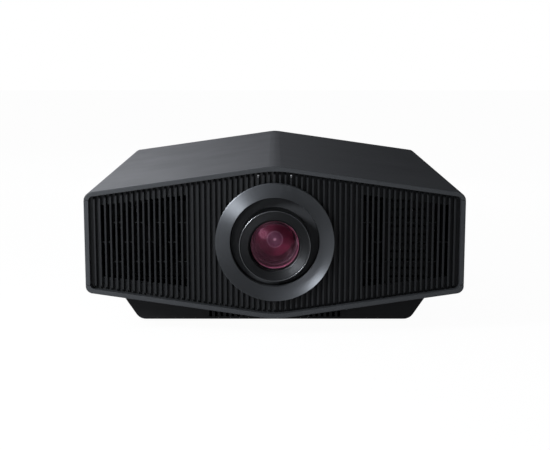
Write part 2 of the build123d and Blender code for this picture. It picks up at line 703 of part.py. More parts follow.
# Laser light source: housing with the phosphor wheel chamber, light tunnel and heat sink
laser_x = (OPTIC_HALF_W + BAY_GAP, OPTIC_HALF_W + BAY_GAP + LASER_W)
laser_y = (OPTIC_Y + LASER_SET, OPTIC_Y + LASER_SET + LASER_D)
laser_z = (DECK_Z, DECK_Z + LASER_H)
wheel_x = sum(laser_x) / 2
wheel_z = sum(laser_z) / 2
wheel_y = laser_y[1] - 24
laser_module = block(laser_x, laser_y, laser_z)
laser_module += rod_x(10, optic_y[1] - 20, laser_z[1] - 20, OPTIC_HALF_W, laser_x[0] + 1)
laser_module -= rod_y(WHEEL_R + 3, wheel_x, wheel_z, wheel_y, wheel_y + 12)
laser_module += rod_y(2.0, wheel_x, wheel_z, wheel_y - 1, wheel_y + 13)
phosphor_wheel = rod_y(WHEEL_R, wheel_x, wheel_z, wheel_y + 2, wheel_y + 3.6)
phosphor_wheel += rod_y(8, wheel_x, wheel_z, wheel_y + 0.4, wheel_y + 11.6)
phosphor_wheel -= rod_y(2.0 + RUN, wheel_x, wheel_z, wheel_y - 1, wheel_y + 13)
laser_heat_sink = block(laser_x, (laser_y[1], laser_y[1] + 6), laser_z)
fin_count = 12
for k in range(fin_count):
    fin_x = laser_x[0] + 2 + k * (laser_x[1] - laser_x[0] - 4) / (fin_count - 1)
    fin_y = (laser_y[1] + 5, laser_y[1] + SINK_D)
    laser_heat_sink += block((fin_x - 0.8, fin_x + 0.8), fin_y, laser_z)


# Circuit board on stand-offs, with the parts that stand on it
def circuit_board(x, y, lift, tall_parts):
    board = block(x, y, (DECK_Z + lift, DECK_Z + lift + BOARD_T))
    for post_x in (x[0] + 6, x[1] - 6):
        for post_y in (y[0] + 6, y[1] - 6):
            board += rod_z(3.0, post_x, post_y, DECK_Z, DECK_Z + lift + 1)
    for part in tall_parts:
        board += part
    return board


supply_x = (-OPTIC_HALF_W - BAY_GAP - SUPPLY_W, -OPTIC_HALF_W - BAY_GAP)
supply_y = (OPTIC_Y, OPTIC_Y + SUPPLY_D)
supply_top = DECK_Z + 7
supply_mid = sum(supply_x) / 2


# Part on the supply board, placed from the board's middle and front edge
def supply_block(x, y, height):
    across = (supply_mid + x[0], supply_mid + x[1])
    return block(across, (supply_y[0] + y[0], supply_y[0] + y[1]), (supply_top, supply_top + height))


def supply_can(radius, x, y, height):
    return rod_z(radius, supply_mid + x, supply_y[0] + y, supply_top, supply_top + height)


transformer = supply_block((-22, 22), (60, 100), 36)
switch_sink = supply_block((-38, -34), (16, 96), 40)
choke = supply_can(13, 8, 32, 20)
capacitors = [supply_can(11, x, 128, 32) for x in (-28, 0, 28)]
supply_parts = [transformer, switch_sink, choke, *capacitors]
power_supply_board = circuit_board(supply_x, supply_y, 6, supply_parts)
board_x = (-OPTIC_HALF_W - BAY_GAP + 4, OPTIC_HALF_W + BAY_GAP - 4)
board_y = (REAR_Y - 126, REAR_Y - REAR_RECESS - PANEL_T - 9)
board_top = DECK_Z + 4 + BOARD_T
main_board = circuit_board(
    board_x,
    board_y,
    4,
    [
        block((-24, 24), (board_y[0] + 20, board_y[0] + 60), (board_top - 0.5, board_top + 10)),
        block((40, 66), (board_y[0] + 24, board_y[0] + 50), (board_top - 0.5, board_top + 3)),
        block((-70, -44), (board_y[0] + 24, board_y[0] + 50), (board_top - 0.5, board_top + 3)),
    ],
)

# Axial fans behind the front vents, each in a duct that stands on the chassis
fan_y = PANEL_BACK + MESH_T + 12
fan_z = FAN_Z
fan_half = FAN_SIZE / 2
fan_bore = fan_half - 2


def fan_frame(x):
    height = (fan_z - fan_half, fan_z + fan_half)
    frame = block((x - fan_half, x + fan_half), (fan_y, fan_y + FAN_T), height)
    frame -= rod_y(fan_bore, x, fan_z, fan_y - 1, fan_y + FAN_T + 1)
    for degrees in (45, 135):
        strut = Box(2 * fan_bore + 1, 3, 4)
        frame += Pos(x, fan_y + FAN_T - 1.5, fan_z) * Rot(0, degrees, 0) * strut
    frame += rod_y(15, x, fan_z, fan_y + FAN_T - 3, fan_y + FAN_T)
    return frame + rod_y(2.0, x, fan_z, fan_y + 4, fan_y + FAN_T - 1)


def fan_rotor(x):
    low, high = fan_y + 2, fan_y + FAN_T - 4
    rotor = rod_y(16, x, fan_z, low, high)
    for k in range(7):
        blade = Pos(0, 0, fan_bore / 2) * Rot(0, 0, 40) * Box(30, 1.4, fan_bore)
        rotor += Pos(x, (low + high) / 2, fan_z) * Rot(0, k * 360 / 7, 0) * blade
    rotor &= rod_y(fan_bore - 1.2, x, fan_z, low, high)
    return rotor - rod_y(2.0 + RUN, x, fan_z, low + 1.5, high + 1)


def fan_duct(x):
    wall = fan_half + FIT
    skin = wall + 2
    y = (PANEL_BACK + MESH_T, fan_y + FAN_T)
    duct = block((x - skin, x + skin), y, (fan_z - skin, fan_z + skin))
    for foot in (-30, 24):
        duct += block((x + foot, x + foot + 6), (deck_y[0] + 2, y[1]), (DECK_Z, fan_z - wall))
    return duct - block((x - wall, x + wall), (y[0] - 1, y[1] + 1), (fan_z - wall, fan_z + wall))


# Rear panel: the same ribbed panel turned to the rear, with a window for the sockets
rear_valley = REAR_Y - REAR_RECESS
rear_back = rear_valley - PANEL_T
socket_z = (SOCKET_Z, SOCKET_Z + SOCKET_H)
rear_grille = Pos(0, rear_valley, 0) * Rot(0, 0, 180) * (panel - rear_vents)
rear_grille -= block((-SOCKET_HALF_W + 6, SOCKET_HALF_W - 6), (rear_back - 1, REAR_Y), socket_z)
connector_z = (SOCKET_Z - 5, SOCKET_Z + SOCKET_H + 6)
connector_panel = block((-SOCKET_HALF_W, SOCKET_HALF_W), (rear_back - 2, rear_back), connector_z)
socket_y = (board_y[1] - 14, rear_back + 1.5)
seat = board_top


# Socket outline standing on the main board, with its lower corners cut off
def socket_face(x, width, height, cut=0.0, cut_h=1.0):
    half = width / 2
    right = [(x + half - cut, seat), (x + half, seat + cut_h), (x + half, seat + height)]
    left = [(x - half, seat + height), (x - half, seat + cut_h), (x - half + cut, seat)]
    return make_face(Polyline(*right, *left, close=True))


# Socket shell with a cavity open to the rear, and the window that it needs in the connector panel
def socket_shell(face, wall, depth):
    cavity = offset(face, -wall, kind=Kind.INTERSECTION)
    return along_y(face, *socket_y) - along_y(cavity, socket_y[1] - depth, socket_y[1] + 1)


def socket_window(face):
    return along_y(offset(face, FIT, kind=Kind.INTERSECTION), rear_back - 3, rear_back + 1)


def tongue_in(x, width, z, thick, depth):
    across = (x - width / 2, x + width / 2)
    return block(across, (socket_y[1] - depth - 0.5, socket_y[1] - 1.5), (z, z + thick))


hdmi_x = (-72.0, -50.0)
lan_x = -26.0
usb_x = -3.0
serial_x = 28.0
jack_x = (56.0, 68.0)
hdmi_faces = [socket_face(x, HDMI_W, HDMI_H, 2.0, 2.2) for x in hdmi_x]
lan_face = socket_face(lan_x, LAN_W, LAN_H)
usb_face = socket_face(usb_x, USB_W, USB_H)
serial_face = socket_face(serial_x, SERIAL_W, SERIAL_H, 1.8, SERIAL_H - 1.5)
hdmi_sockets = solids(
    socket_shell(face, 0.7, 9.0) + tongue_in(x, HDMI_W - 5, seat + HDMI_H / 2 - 0.1, 1.2, 9.0)
    for x, face in zip(hdmi_x, hdmi_faces)
)
lan_socket = socket_shell(lan_face, 1.6, 12.0)
latch_z = (seat + LAN_H - 2, seat + LAN_H - 0.6)
lan_socket -= block((lan_x - 3, lan_x + 3), (socket_y[1] - 12, socket_y[1] + 1), latch_z)
usb_socket = socket_shell(usb_face, 0.9, 10.0) + tongue_in(usb_x, USB_W - 3.5, seat + 4.2, 1.6, 10.0)
serial_port = socket_shell(serial_face, 1.2, 6.0)
for row, count in ((4.0, 4), (7.5, 5)):
    for k in range(count):
        pin_x = serial_x + (k - (count - 1) / 2) * 2.8
        serial_port += rod_y(0.5, pin_x, seat + row, socket_y[1] - 6.5, socket_y[1] - 1)
jack_z = seat + 6
jack_sockets = solids(
    block((x - 4.5, x + 4.5), (socket_y[0], rear_back - 2), (seat, seat + 11))
    + rod_y(JACK_R, x, jack_z, rear_back - 3, socket_y[1])
    - rod_y(1.8, x, jack_z, socket_y[1] - 12, socket_y[1] + 1)
    for x in jack_x
)
connector_panel -= [socket_window(face) for face in (*hdmi_faces, lan_face, usb_face, serial_face)]
for x in jack_x:
    connector_panel -= rod_y(JACK_R + FIT, x, jack_z, rear_back - 3, rear_back + 1)

# Mains inlet in the rear panel above the sockets, with three blades in its recess
inlet_x = -64.0
inlet_z = SOCKET_Z + SOCKET_H + 26
inlet_window = (
    (inlet_x - INLET_W / 2, inlet_x + INLET_W / 2),
    (inlet_z - INLET_H / 2, inlet_z + INLET_H / 2),
)
rear_grille -= block(
    (inlet_window[0][0] - 3, inlet_window[0][1] + 3),
    (rear_valley, REAR_Y),
    (inlet_window[1][0] - 3, inlet_window[1][1] + 3),
)
rear_grille -= block(inlet_window[0], (rear_back - 1, REAR_Y), inlet_window[1])
inlet_body = block(
    (inlet_window[0][0] + FIT, inlet_window[0][1] - FIT),
    (rear_valley - INLET_DEPTH - 4, rear_valley + 2),
    (inlet_window[1][0] + FIT, inlet_window[1][1] - FIT),
)
inlet_body += block(
    (inlet_window[0][0] - 2.5, inlet_window[0][1] + 2.5),
    (rear_valley, rear_valley + 2),
    (inlet_window[1][0] - 2.5, inlet_window[1][1] + 2.5),
)
inlet_cavity = block(
    (inlet_x - INLET_W / 2 + 3, inlet_x + INLET_W / 2 - 3),
    (rear_valley + 2 - INLET_DEPTH, rear_valley + 3),
    (inlet_z - INLET_H / 2 + 3.5, inlet_z + INLET_H / 2 - 3.5),
)
ac_inlet = inlet_body - chamfer(inlet_cavity.edges().filter_by(Axis.Y).group_by(Axis.Z)[-1], INLET_CORNER)
for dx, dz in ((-7, -2), (7, -2), (0, 2)):
    blade_x = (inlet_x + dx - 1, inlet_x + dx + 1)
    blade_z = (inlet_z + dz - 2, inlet_z + dz + 2)
    ac_inlet += block(blade_x, (rear_valley + 1 - INLET_DEPTH, rear_valley - 2), blade_z)

# Keypad in the right-hand side panel: plate, four keys behind it and their board
pad_face = HALF_W - KEY_TRAVEL
pad_back = HALF_W - WALL - 2.5


# Block across the keypad, its four edges moved out by the given amount
def keypad_block(x, grow):
    return block(x, (keypad_y[0] - grow, keypad_y[1] + grow), (keypad_z[0] - grow, keypad_z[1] + grow))


keypad_plate = keypad_block((HALF_W - WALL, pad_face), -FIT)
keypad_plate += keypad_block((pad_back, HALF_W - WALL), KEYPAD_LIP)
key_back = pad_back - 1.6
board_face = key_back - KEY_TRAVEL - 1.0
for py in (keypad_y[0], keypad_y[1]):
    for pz in (keypad_z[0], keypad_z[1]):
        keypad_plate += rod_x(2.5, py, pz, board_face, pad_back + 1)
keypad_board = keypad_block((board_face - BOARD_T, board_face), KEYPAD_LIP)


def key(radius, y):
    stem = rod_x(radius, y, KEYPAD_Z, pad_back - 0.5, HALF_W)
    stem = chamfer(stem.edges().group_by(Axis.X)[-1], 0.4)
    return stem + rod_x(radius + 1.2, y, KEYPAD_Z, key_back, pad_back - 0.1)


keys = {}
for name, radius, place in (
    ("power_key", 5.0, -38.0),
    ("input_key", 4.0, -20.0),
    ("menu_key", 4.0, -5.0),
    ("direction_key", 11.0, 26.0),
):
    keypad_plate -= rod_x(radius + 0.2, KEYPAD_Y + place, KEYPAD_Z, pad_back - 1, HALF_W + 1)
    keys[name] = key(radius, KEYPAD_Y + place)

save("top_cover", top_cover)
save("left_side_panel", left_side_panel)
save("right_side_panel", right_side_panel)
save("lower_cover", lower_cover)
save("front_grille", front_grille)
save("vent_mesh_plate", vent_mesh_plate)
save("indicator_light_guides", indicator_light_guides)
save("lens_ring", lens_ring)
save("lens_aperture_sleeve", lens_aperture_sleeve)
save("base_pan", base_pan)
save("ceiling_mount_inserts", ceiling_mount_inserts)
save("base_screws", base_screws)
save("rear_feet", rear_feet)
save("left_front_foot", levelling_foot(*foot_spots[1]))
save("right_front_foot", levelling_foot(*foot_spots[0]))
save("chassis_plate", chassis_plate)
save("lens_shift_frame", lens_shift_frame)
save("upright_guide_rods", upright_guide_rods)
save("lift_screw", lift_screw)
save("lift_motor", lift_motor)
save("lift_carriage", lift_carriage)
save("cross_guide_rods", cross_guide_rods)
save("cross_screw", cross_screw)
save("cross_motor", cross_motor)
save("cross_carriage", cross_carriage)
save("lens_barrel", lens_barrel)
save("lens_retaining_ring", lens_retaining_ring)
save("front_glass", front_glass)
save("second_glass", second_glass)
save("focus_ring", focus_ring)
save("focus_pinion", focus_pinion)
save("focus_motor", focus_motor)
save("zoom_ring", zoom_ring)
save("zoom_pinion", zoom_pinion)
save("zoom_motor", zoom_motor)
save("optical_block", optical_block)
save("imaging_panels", imaging_panels)
save("laser_module", laser_module)
save("phosphor_wheel", phosphor_wheel)
save("laser_heat_sink", laser_heat_sink)
save("power_supply_board", power_supply_board)
save("main_board", main_board)
save("fan_frames", solids(fan_frame(side * FAN_X) for side in (1, -1)))
save("fan_ducts", solids(fan_duct(side * FAN_X) for side in (1, -1)))
save("left_fan_rotor", fan_rotor(-FAN_X))
save("right_fan_rotor", fan_rotor(FAN_X))
save("rear_grille", rear_grille)
save("connector_panel", connector_panel)
save("hdmi_sockets", hdmi_sockets)
save("lan_socket", lan_socket)
save("usb_socket", usb_socket)
save("serial_port", serial_port)
save("jack_sockets", jack_sockets)
save("ac_inlet", ac_inlet)
save("keypad_plate", keypad_plate)
save("keypad_board", keypad_board)
for name, shape in keys.items():
    save(name, shape)
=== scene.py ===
import math

import bpy
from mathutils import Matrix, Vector


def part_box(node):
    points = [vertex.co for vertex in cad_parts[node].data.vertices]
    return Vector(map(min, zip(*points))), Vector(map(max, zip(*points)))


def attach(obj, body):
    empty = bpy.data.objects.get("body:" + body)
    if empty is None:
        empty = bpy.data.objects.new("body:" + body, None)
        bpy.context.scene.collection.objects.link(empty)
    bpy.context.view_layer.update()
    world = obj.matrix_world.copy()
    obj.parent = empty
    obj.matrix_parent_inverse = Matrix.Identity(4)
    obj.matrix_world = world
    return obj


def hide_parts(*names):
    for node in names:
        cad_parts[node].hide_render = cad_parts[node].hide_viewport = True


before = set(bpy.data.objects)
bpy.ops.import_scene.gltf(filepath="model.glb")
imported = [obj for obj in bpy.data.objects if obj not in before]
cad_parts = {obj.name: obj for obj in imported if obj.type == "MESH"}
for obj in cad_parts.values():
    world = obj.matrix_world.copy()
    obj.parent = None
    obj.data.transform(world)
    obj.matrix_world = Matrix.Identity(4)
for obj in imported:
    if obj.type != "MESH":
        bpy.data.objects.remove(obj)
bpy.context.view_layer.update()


# Base pan: a flared tray of black moulded plastic that carries the whole projector on its feet,
# with intake slots in its front wall and floor. Its spark-eroded mould leaves a fine even grain.
FLOAT, COLOUR = "NodeSocketFloat", "NodeSocketColor"


def group_with(name, inputs, outputs):
    group = bpy.data.node_groups.new(name, "ShaderNodeTree")
    for label, kind, value in inputs:
        socket = group.interface.new_socket(label, in_out="INPUT", socket_type=kind)
        socket.default_value = value
    for label, kind in outputs:
        group.interface.new_socket(label, in_out="OUTPUT", socket_type=kind)
    return group, group.nodes.new("NodeGroupInput").outputs, group.nodes.new("NodeGroupOutput").inputs


def noise_in(tree, place, scale, detail):
    noise = tree.nodes.new("ShaderNodeTexNoise")
    noise.inputs["Scale"].default_value = scale
    noise.inputs["Detail"].default_value = detail
    tree.links.new(place, noise.inputs["Vector"])
    return noise


def ranged_in(tree, value, low, high, from_low=0.3, from_high=0.7):
    ranged = tree.nodes.new("ShaderNodeMapRange")
    for label, number in zip(("From Min", "From Max", "To Min", "To Max"), (from_low, from_high, low, high)):
        ranged.inputs[label].default_value = number
    tree.links.new(value, ranged.inputs["Value"])
    return ranged.outputs["Result"]


def math_in(tree, operation, *values):
    node = tree.nodes.new("ShaderNodeMath")
    node.operation = operation
    for socket, value in zip(node.inputs, values):
        if isinstance(value, (int, float)):
            socket.default_value = value
        else:
            tree.links.new(value, socket)
    return node.outputs["Value"]


def shaded_in(tree, colour, shade):
    mixed = tree.nodes.new("ShaderNodeMix")
    mixed.data_type = "RGBA"
    mixed.blend_type = "MULTIPLY"
    mixed.inputs["Factor"].default_value = 1.0
    tree.links.new(colour, mixed.inputs["A"])
    tree.links.new(shade, mixed.inputs["B"])
    return mixed.outputs["Result"]


moulded, given, made = group_with(
    "moulded_grain",
    [("Colour", COLOUR, (0.5, 0.5, 0.5, 1)), ("Roughness", FLOAT, 0.5), ("Grain", FLOAT, 2400.0)],
    [("Colour", COLOUR), ("Roughness", FLOAT), ("Height", FLOAT)],
)
place = moulded.nodes.new("ShaderNodeTexCoord").outputs["Object"]
grain = noise_in(moulded, place, 2400.0, 2.0)
cloud = noise_in(moulded, place, 14.0, 3.0)
moulded.links.new(given["Grain"], grain.inputs["Scale"])
fleck = ranged_in(moulded, grain.outputs["Fac"], 0.86, 1.14)
drift = ranged_in(moulded, cloud.outputs["Fac"], 0.95, 1.05)
patch = ranged_in(moulded, cloud.outputs["Fac"], 0.94, 1.06)
sheen = math_in(moulded, "MULTIPLY", given["Roughness"], patch)
shade = math_in(moulded, "MULTIPLY", fleck, drift)
moulded.links.new(shaded_in(moulded, given["Colour"], shade), made["Colour"])
moulded.links.new(sheen, made["Roughness"])
moulded.links.new(grain.outputs["Fac"], made["Height"])


def finish_with(name, group, values, bump, distance, sockets):
    finish = bpy.data.materials.new(name)
    finish.use_nodes = True
    tree = finish.node_tree
    shader = tree.nodes["Principled BSDF"]
    texture = tree.nodes.new("ShaderNodeGroup")
    texture.node_tree = group
    for label, value in values.items():
        texture.inputs[label].default_value = value
    tree.links.new(texture.outputs["Colour"], shader.inputs["Base Color"])
    tree.links.new(texture.outputs["Roughness"], shader.inputs["Roughness"])
    relief = tree.nodes.new("ShaderNodeBump")
    relief.inputs["Strength"].default_value = bump
    relief.inputs["Distance"].default_value = distance
    tree.links.new(texture.outputs["Height"], relief.inputs["Height"])
    tree.links.new(relief.outputs["Normal"], shader.inputs["Normal"])
    for label, value in sockets.items():
        shader.inputs[label].default_value = value
    return finish


def grey(value, cool=0.0):
    return (value * (1 - cool), value, value * (1 + cool), 1)


def plastic(name, colour, roughness, specular, grain_scale=2400.0, bump=0.25):
    values = {"Colour": colour, "Roughness": roughness, "Grain": grain_scale}
    return finish_with(name, moulded, values, bump, 0.00005, {"Specular IOR Level": specular})


def dress(material, *nodes):
    for node in nodes:
        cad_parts[node].material_slots[0].material = material


base_black = plastic("base_black", grey(0.0095, 0.05), 0.5, 0.17)
dress(base_black, "base_pan")


# Levelling feet: a rubber pad with tread grooves, bonded to a plastic grip wheel on a steel stud
# that screws into a bush of the base. The rear pair is plain rubber, pushed onto the base.
def start_outline(name, point):
    bpy.ops.object.select_all(action="DESELECT")
    bpy.ops.mesh.primitive_plane_add(size=0.001, location=(0, 0, 0))
    piece = bpy.context.object
    piece.name = piece.data.name = name
    bpy.context.tool_settings.mesh_select_mode = (True, False, False)
    bpy.ops.object.mode_set(mode="EDIT")
    bpy.ops.mesh.merge(type="CENTER")
    bpy.ops.transform.translate(value=point)
    return piece


def turned(name, outline, centre, axis=1, steps=96, smooth=35.0):
    across = 1 if axis == 0 else 0
    points = []
    for radius, along in outline:
        point = Vector(centre)
        point[axis] = along
        point[across] += radius
        points.append(point)
    piece = start_outline(name, points[0])
    for here, there in zip(points, points[1:]):
        bpy.ops.mesh.extrude_region_move(TRANSFORM_OT_translate={"value": there - here})
    line = [0.0, 0.0, 0.0]
    line[axis] = 1.0
    bpy.ops.mesh.select_all(action="SELECT")
    bpy.ops.mesh.spin(steps=steps, angle=2 * math.pi, center=centre, axis=line)
    bpy.ops.mesh.select_all(action="SELECT")
    bpy.ops.mesh.remove_doubles(threshold=0.000001)
    bpy.ops.mesh.normals_make_consistent(inside=False)
    bpy.ops.object.mode_set(mode="OBJECT")
    bpy.ops.object.shade_smooth_by_angle(angle=math.radians(smooth))
    return piece


def soften(piece, width, segments=2, angle=30.0):
    bevel = piece.modifiers.new("edges", "BEVEL")
    bevel.width = width
    bevel.segments = segments
    bevel.limit_method = "ANGLE"
    bevel.angle_limit = math.radians(angle)
    bpy.ops.object.modifier_apply(modifier=bevel.name)
    bpy.ops.object.shade_smooth_by_angle(angle=math.radians(angle))


def pick_faces(piece, wanted):
    bpy.ops.object.mode_set(mode="OBJECT")
    bpy.context.tool_settings.mesh_select_mode = (False, False, True)
    for kind in (piece.data.vertices, piece.data.edges, piece.data.polygons):
        kind.foreach_set("select", [False] * len(kind))
    for face in piece.data.polygons:
        face.select = wanted(face)
    bpy.ops.object.mode_set(mode="EDIT")


def joined(name, pieces):
    bpy.ops.object.select_all(action="DESELECT")
    for piece in pieces:
        piece.select_set(True)
    bpy.context.view_layer.objects.active = pieces[0]
    bpy.ops.object.join()
    pieces[0].name = pieces[0].data.name = name
    return pieces[0]


def fit(piece, material, body, slot, *nodes):
    piece.data.materials.clear()
    piece.data.materials.append(material)
    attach(piece, body)
    if nodes:
        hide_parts(*nodes)
    return piece


def middle(node):
    low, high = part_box(node)
    return (low + high) / 2


foot_rubber = plastic("foot_rubber", grey(0.012), 0.75, 0.3, 1500.0, 0.4)
grip_black = plastic("grip_black", grey(0.010), 0.42, 0.3)
TREAD = 0.0008
TREAD_RINGS = (0.3, 0.55, 0.8)
RING_SHARE = 0.1
FLANK_SHARE = 0.02
PAD_EDGE = 0.0015


def tread_outline(radius, top):
    outline = [(0, TREAD)]
    for ring in TREAD_RINGS:
        inner = ring - RING_SHARE
        outline += [(radius * (inner - FLANK_SHARE), TREAD), (radius * inner, 0)]
        outline += [(radius * ring, 0), (radius * (ring + FLANK_SHARE), TREAD)]
    return outline + [(radius - PAD_EDGE, 0), (radius, PAD_EDGE), (radius, top), (0, top)]


foot_low, foot_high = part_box("left_front_foot")
FOOT_R = (foot_high.x - foot_low.x) / 2
PAD_H = 0.0042
PAD_SET = 0.0004
GRIP_TOP = 0.0132
GRIP_SIDES = 48
GRIP_EDGE = 0.0003
GRIP_DEPTH = 0.0007
STUD_R = 0.0039
STUD_TIP = 0.0008
THREAD_PITCH = 0.0012
THREAD_DEPTH = 0.0006
for side in ("left", "right"):
    body = side + "_front_foot"
    spot = middle(body)
    pad = turned(side + "_foot_pad", tread_outline(FOOT_R - PAD_SET, PAD_H), (spot.x, spot.y, 0), axis=2)
    fit(pad, foot_rubber, body, "rubber", body)
    bpy.ops.object.select_all(action="DESELECT")
    grip_middle = (spot.x, spot.y, (GRIP_TOP + PAD_H) / 2)
    bpy.ops.mesh.primitive_cylinder_add(
        vertices=GRIP_SIDES, radius=FOOT_R, depth=GRIP_TOP - PAD_H, location=grip_middle
    )
    grip = bpy.context.object
    grip.name = side + "_foot_grip"
    bpy.ops.object.transform_apply(location=True, rotation=False, scale=False)
    pick_faces(grip, lambda face: abs(face.normal.z) < 0.5 and face.index % 2 == 0)
    bpy.ops.mesh.inset(thickness=GRIP_EDGE, depth=-GRIP_DEPTH, use_individual=True)
    bpy.ops.object.mode_set(mode="OBJECT")
    soften(grip, GRIP_EDGE)
    fit(grip, grip_black, body, "rubber")
    thread = [(0, GRIP_TOP), (STUD_R, GRIP_TOP)]
    for turn in range(int((foot_high.z - GRIP_TOP) / THREAD_PITCH) - 1):
        height = GRIP_TOP + turn * THREAD_PITCH
        thread += [(STUD_R - THREAD_DEPTH, height + THREAD_PITCH / 2), (STUD_R, height + THREAD_PITCH)]
    thread += [(STUD_R - STUD_TIP, foot_high.z), (0, foot_high.z)]
    stud = turned(side + "_foot_stud", thread, (spot.x, spot.y, 0), axis=2, steps=32)
    fit(stud, grip_black, body, "rubber")

rear_low, rear_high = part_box("rear_feet")
rear_pads = [
    turned("rear_pad", tread_outline(FOOT_R, rear_high.z), (x, middle("rear_feet").y, 0), axis=2)
    for x in (rear_low.x + FOOT_R, rear_high.x - FOOT_R)
]
fit(joined("rear_foot_pads", rear_pads), foot_rubber, "projector", "rubber", "rear_feet")


# Inner works: chassis plate, lens shift, gears, optics, light source, boards and fans, all screwed
# to the chassis. Little of them shows through the vents, so each keeps its own plain working finish.
def metal(name, colour, roughness, grain_scale=900.0, bump=0.15):
    values = {"Colour": colour, "Roughness": roughness, "Grain": grain_scale}
    return finish_with(name, moulded, values, bump, 0.00005, {"Metallic": 1.0})


dress(metal("black_sheet", grey(0.02), 0.6), "chassis_plate")
dark_casting = metal("dark_casting", grey(0.16), 0.55, 700.0, 0.4)
dress(dark_casting, "lens_shift_frame", "lift_carriage", "cross_carriage")
steel = metal("ground_steel", grey(0.55, 0.02), 0.25)
dress(steel, "upright_guide_rods", "cross_guide_rods", "lift_screw", "cross_screw")
dress(metal("plated_can", grey(0.42, 0.02), 0.35), "lift_motor", "cross_motor", "focus_motor", "zoom_motor")
acetal = plastic("acetal", (0.70, 0.69, 0.65, 1), 0.45, 0.5)
dress(acetal, "focus_ring", "zoom_ring", "focus_pinion", "zoom_pinion")
dress(metal("block_casting", grey(0.28), 0.5, 700.0, 0.4), "optical_block")
dress(metal("extrusion", grey(0.22, 0.02), 0.45), "imaging_panels", "laser_heat_sink", "laser_module")
dress(plastic("phosphor", (0.75, 0.66, 0.12, 1), 0.6, 0.5, 3000.0), "phosphor_wheel")
dress(plastic("solder_mask", (0.006, 0.035, 0.015, 1), 0.5, 0.2, 400.0), "power_supply_board", "main_board")
dress(plastic("solder_mask_keys", (0.012, 0.075, 0.030, 1), 0.35, 0.5, 400.0), "keypad_board")
fan_black = plastic("fan_black", grey(0.004), 0.6, 0.12)
dress(fan_black, "fan_frames", "left_fan_rotor", "right_fan_rotor", "fan_ducts")


# Lens barrel: black anodised aluminium, turned on a lathe. Its front retaining ring holds the front
# glass and has fine concentric grooves against stray light and a polished outer chamfer.
turnings, given, made = group_with(
    "turned_marks",
    [
        ("Colour", COLOUR, (0.5, 0.5, 0.5, 1)),
        ("Roughness", FLOAT, 0.4),
        ("Axis height", FLOAT, 0.116),
        ("Marks", FLOAT, 1800.0),
    ],
    [("Colour", COLOUR), ("Roughness", FLOAT), ("Height", FLOAT)],
)
place = turnings.nodes.new("ShaderNodeTexCoord").outputs["Object"]
parts = turnings.nodes.new("ShaderNodeSeparateXYZ")
turnings.links.new(place, parts.inputs["Vector"])
level = math_in(turnings, "SUBTRACT", parts.outputs["Z"], given["Axis height"])
flat = math_in(turnings, "MULTIPLY", parts.outputs["X"], parts.outputs["X"])
upright = math_in(turnings, "MULTIPLY", level, level)
radius = math_in(turnings, "SQRT", math_in(turnings, "ADD", flat, upright))
marks = turnings.nodes.new("ShaderNodeTexNoise")
marks.noise_dimensions = "1D"
marks.inputs["Detail"].default_value = 2.0
turnings.links.new(radius, marks.inputs["W"])
turnings.links.new(given["Marks"], marks.inputs["Scale"])
shade = ranged_in(turnings, marks.outputs["Fac"], 0.9, 1.1)
drift = ranged_in(turnings, marks.outputs["Fac"], 0.92, 1.08)
gloss = math_in(turnings, "MULTIPLY", given["Roughness"], drift)
turnings.links.new(shaded_in(turnings, given["Colour"], shade), made["Colour"])
turnings.links.new(gloss, made["Roughness"])
turnings.links.new(marks.outputs["Fac"], made["Height"])


def turned_metal(name, colour, roughness, height, fanned=0.0):
    values = {"Colour": colour, "Roughness": roughness, "Axis height": height}
    sockets = {"Metallic": 1.0, "Anisotropic": fanned, "Anisotropic Rotation": 0.25}
    finish = finish_with(name, turnings, values, 0.12, 0.00003, sockets)
    if fanned:
        lathe = finish.node_tree.nodes.new("ShaderNodeTangent")
        lathe.direction_type = "RADIAL"
        lathe.axis = "Y"
        shader = finish.node_tree.nodes["Principled BSDF"]
        finish.node_tree.links.new(lathe.outputs["Tangent"], shader.inputs["Tangent"])
    return finish


ring_low, ring_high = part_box("lens_retaining_ring")
LENS_Z = (ring_low.z + ring_high.z) / 2
BARREL_R = (ring_high.x - ring_low.x) / 2
LENS_FRONT = ring_low.y
RIM_Y = ring_high.y
GLASS_R = 0.03075
lens_axis = (0, 0, LENS_Z)
barrel_black = turned_metal("barrel_black", grey(0.036, 0.03), 0.42, LENS_Z)
dress(barrel_black, "lens_barrel")

GROOVE_PITCH = 0.0007
GROOVE_DEPTH = 0.00012
BEZEL_R = GLASS_R + 0.0016
FACE_R = BARREL_R - 0.0014
FACE_DISH = 0.0020
FACE_TURN = FACE_DISH / (FACE_R - BEZEL_R)
SEAT_DEPTH = 0.0034
BEZEL_LIP = 0.0003
OUTER_CHAMFER = ((0.0011, 0.0003), (0.0003, 0.0006), (0.0, 0.0012))
groove_count = int((FACE_R - BEZEL_R) / GROOVE_PITCH)
face = [(GLASS_R, LENS_FRONT + SEAT_DEPTH)]
face.append((BEZEL_R - BEZEL_LIP, LENS_FRONT + FACE_DISH + 2 * BEZEL_LIP))
for groove in range(groove_count):
    inner = BEZEL_R + groove * GROOVE_PITCH
    height = LENS_FRONT + FACE_TURN * (FACE_R - inner)
    bottom = height + GROOVE_DEPTH - FACE_TURN * GROOVE_PITCH / 2
    face += [(inner, height), (inner + GROOVE_PITCH / 2, bottom)]
face.append((FACE_R, LENS_FRONT))
face += [(BARREL_R - inset, LENS_FRONT + depth) for inset, depth in OUTER_CHAMFER]
face += [(BARREL_R, RIM_Y), (GLASS_R, RIM_Y), face[0]]
retaining_ring = turned("retaining_ring", face, lens_axis, steps=160)
fit(retaining_ring, barrel_black, "lens", "barrel", "lens_retaining_ring")


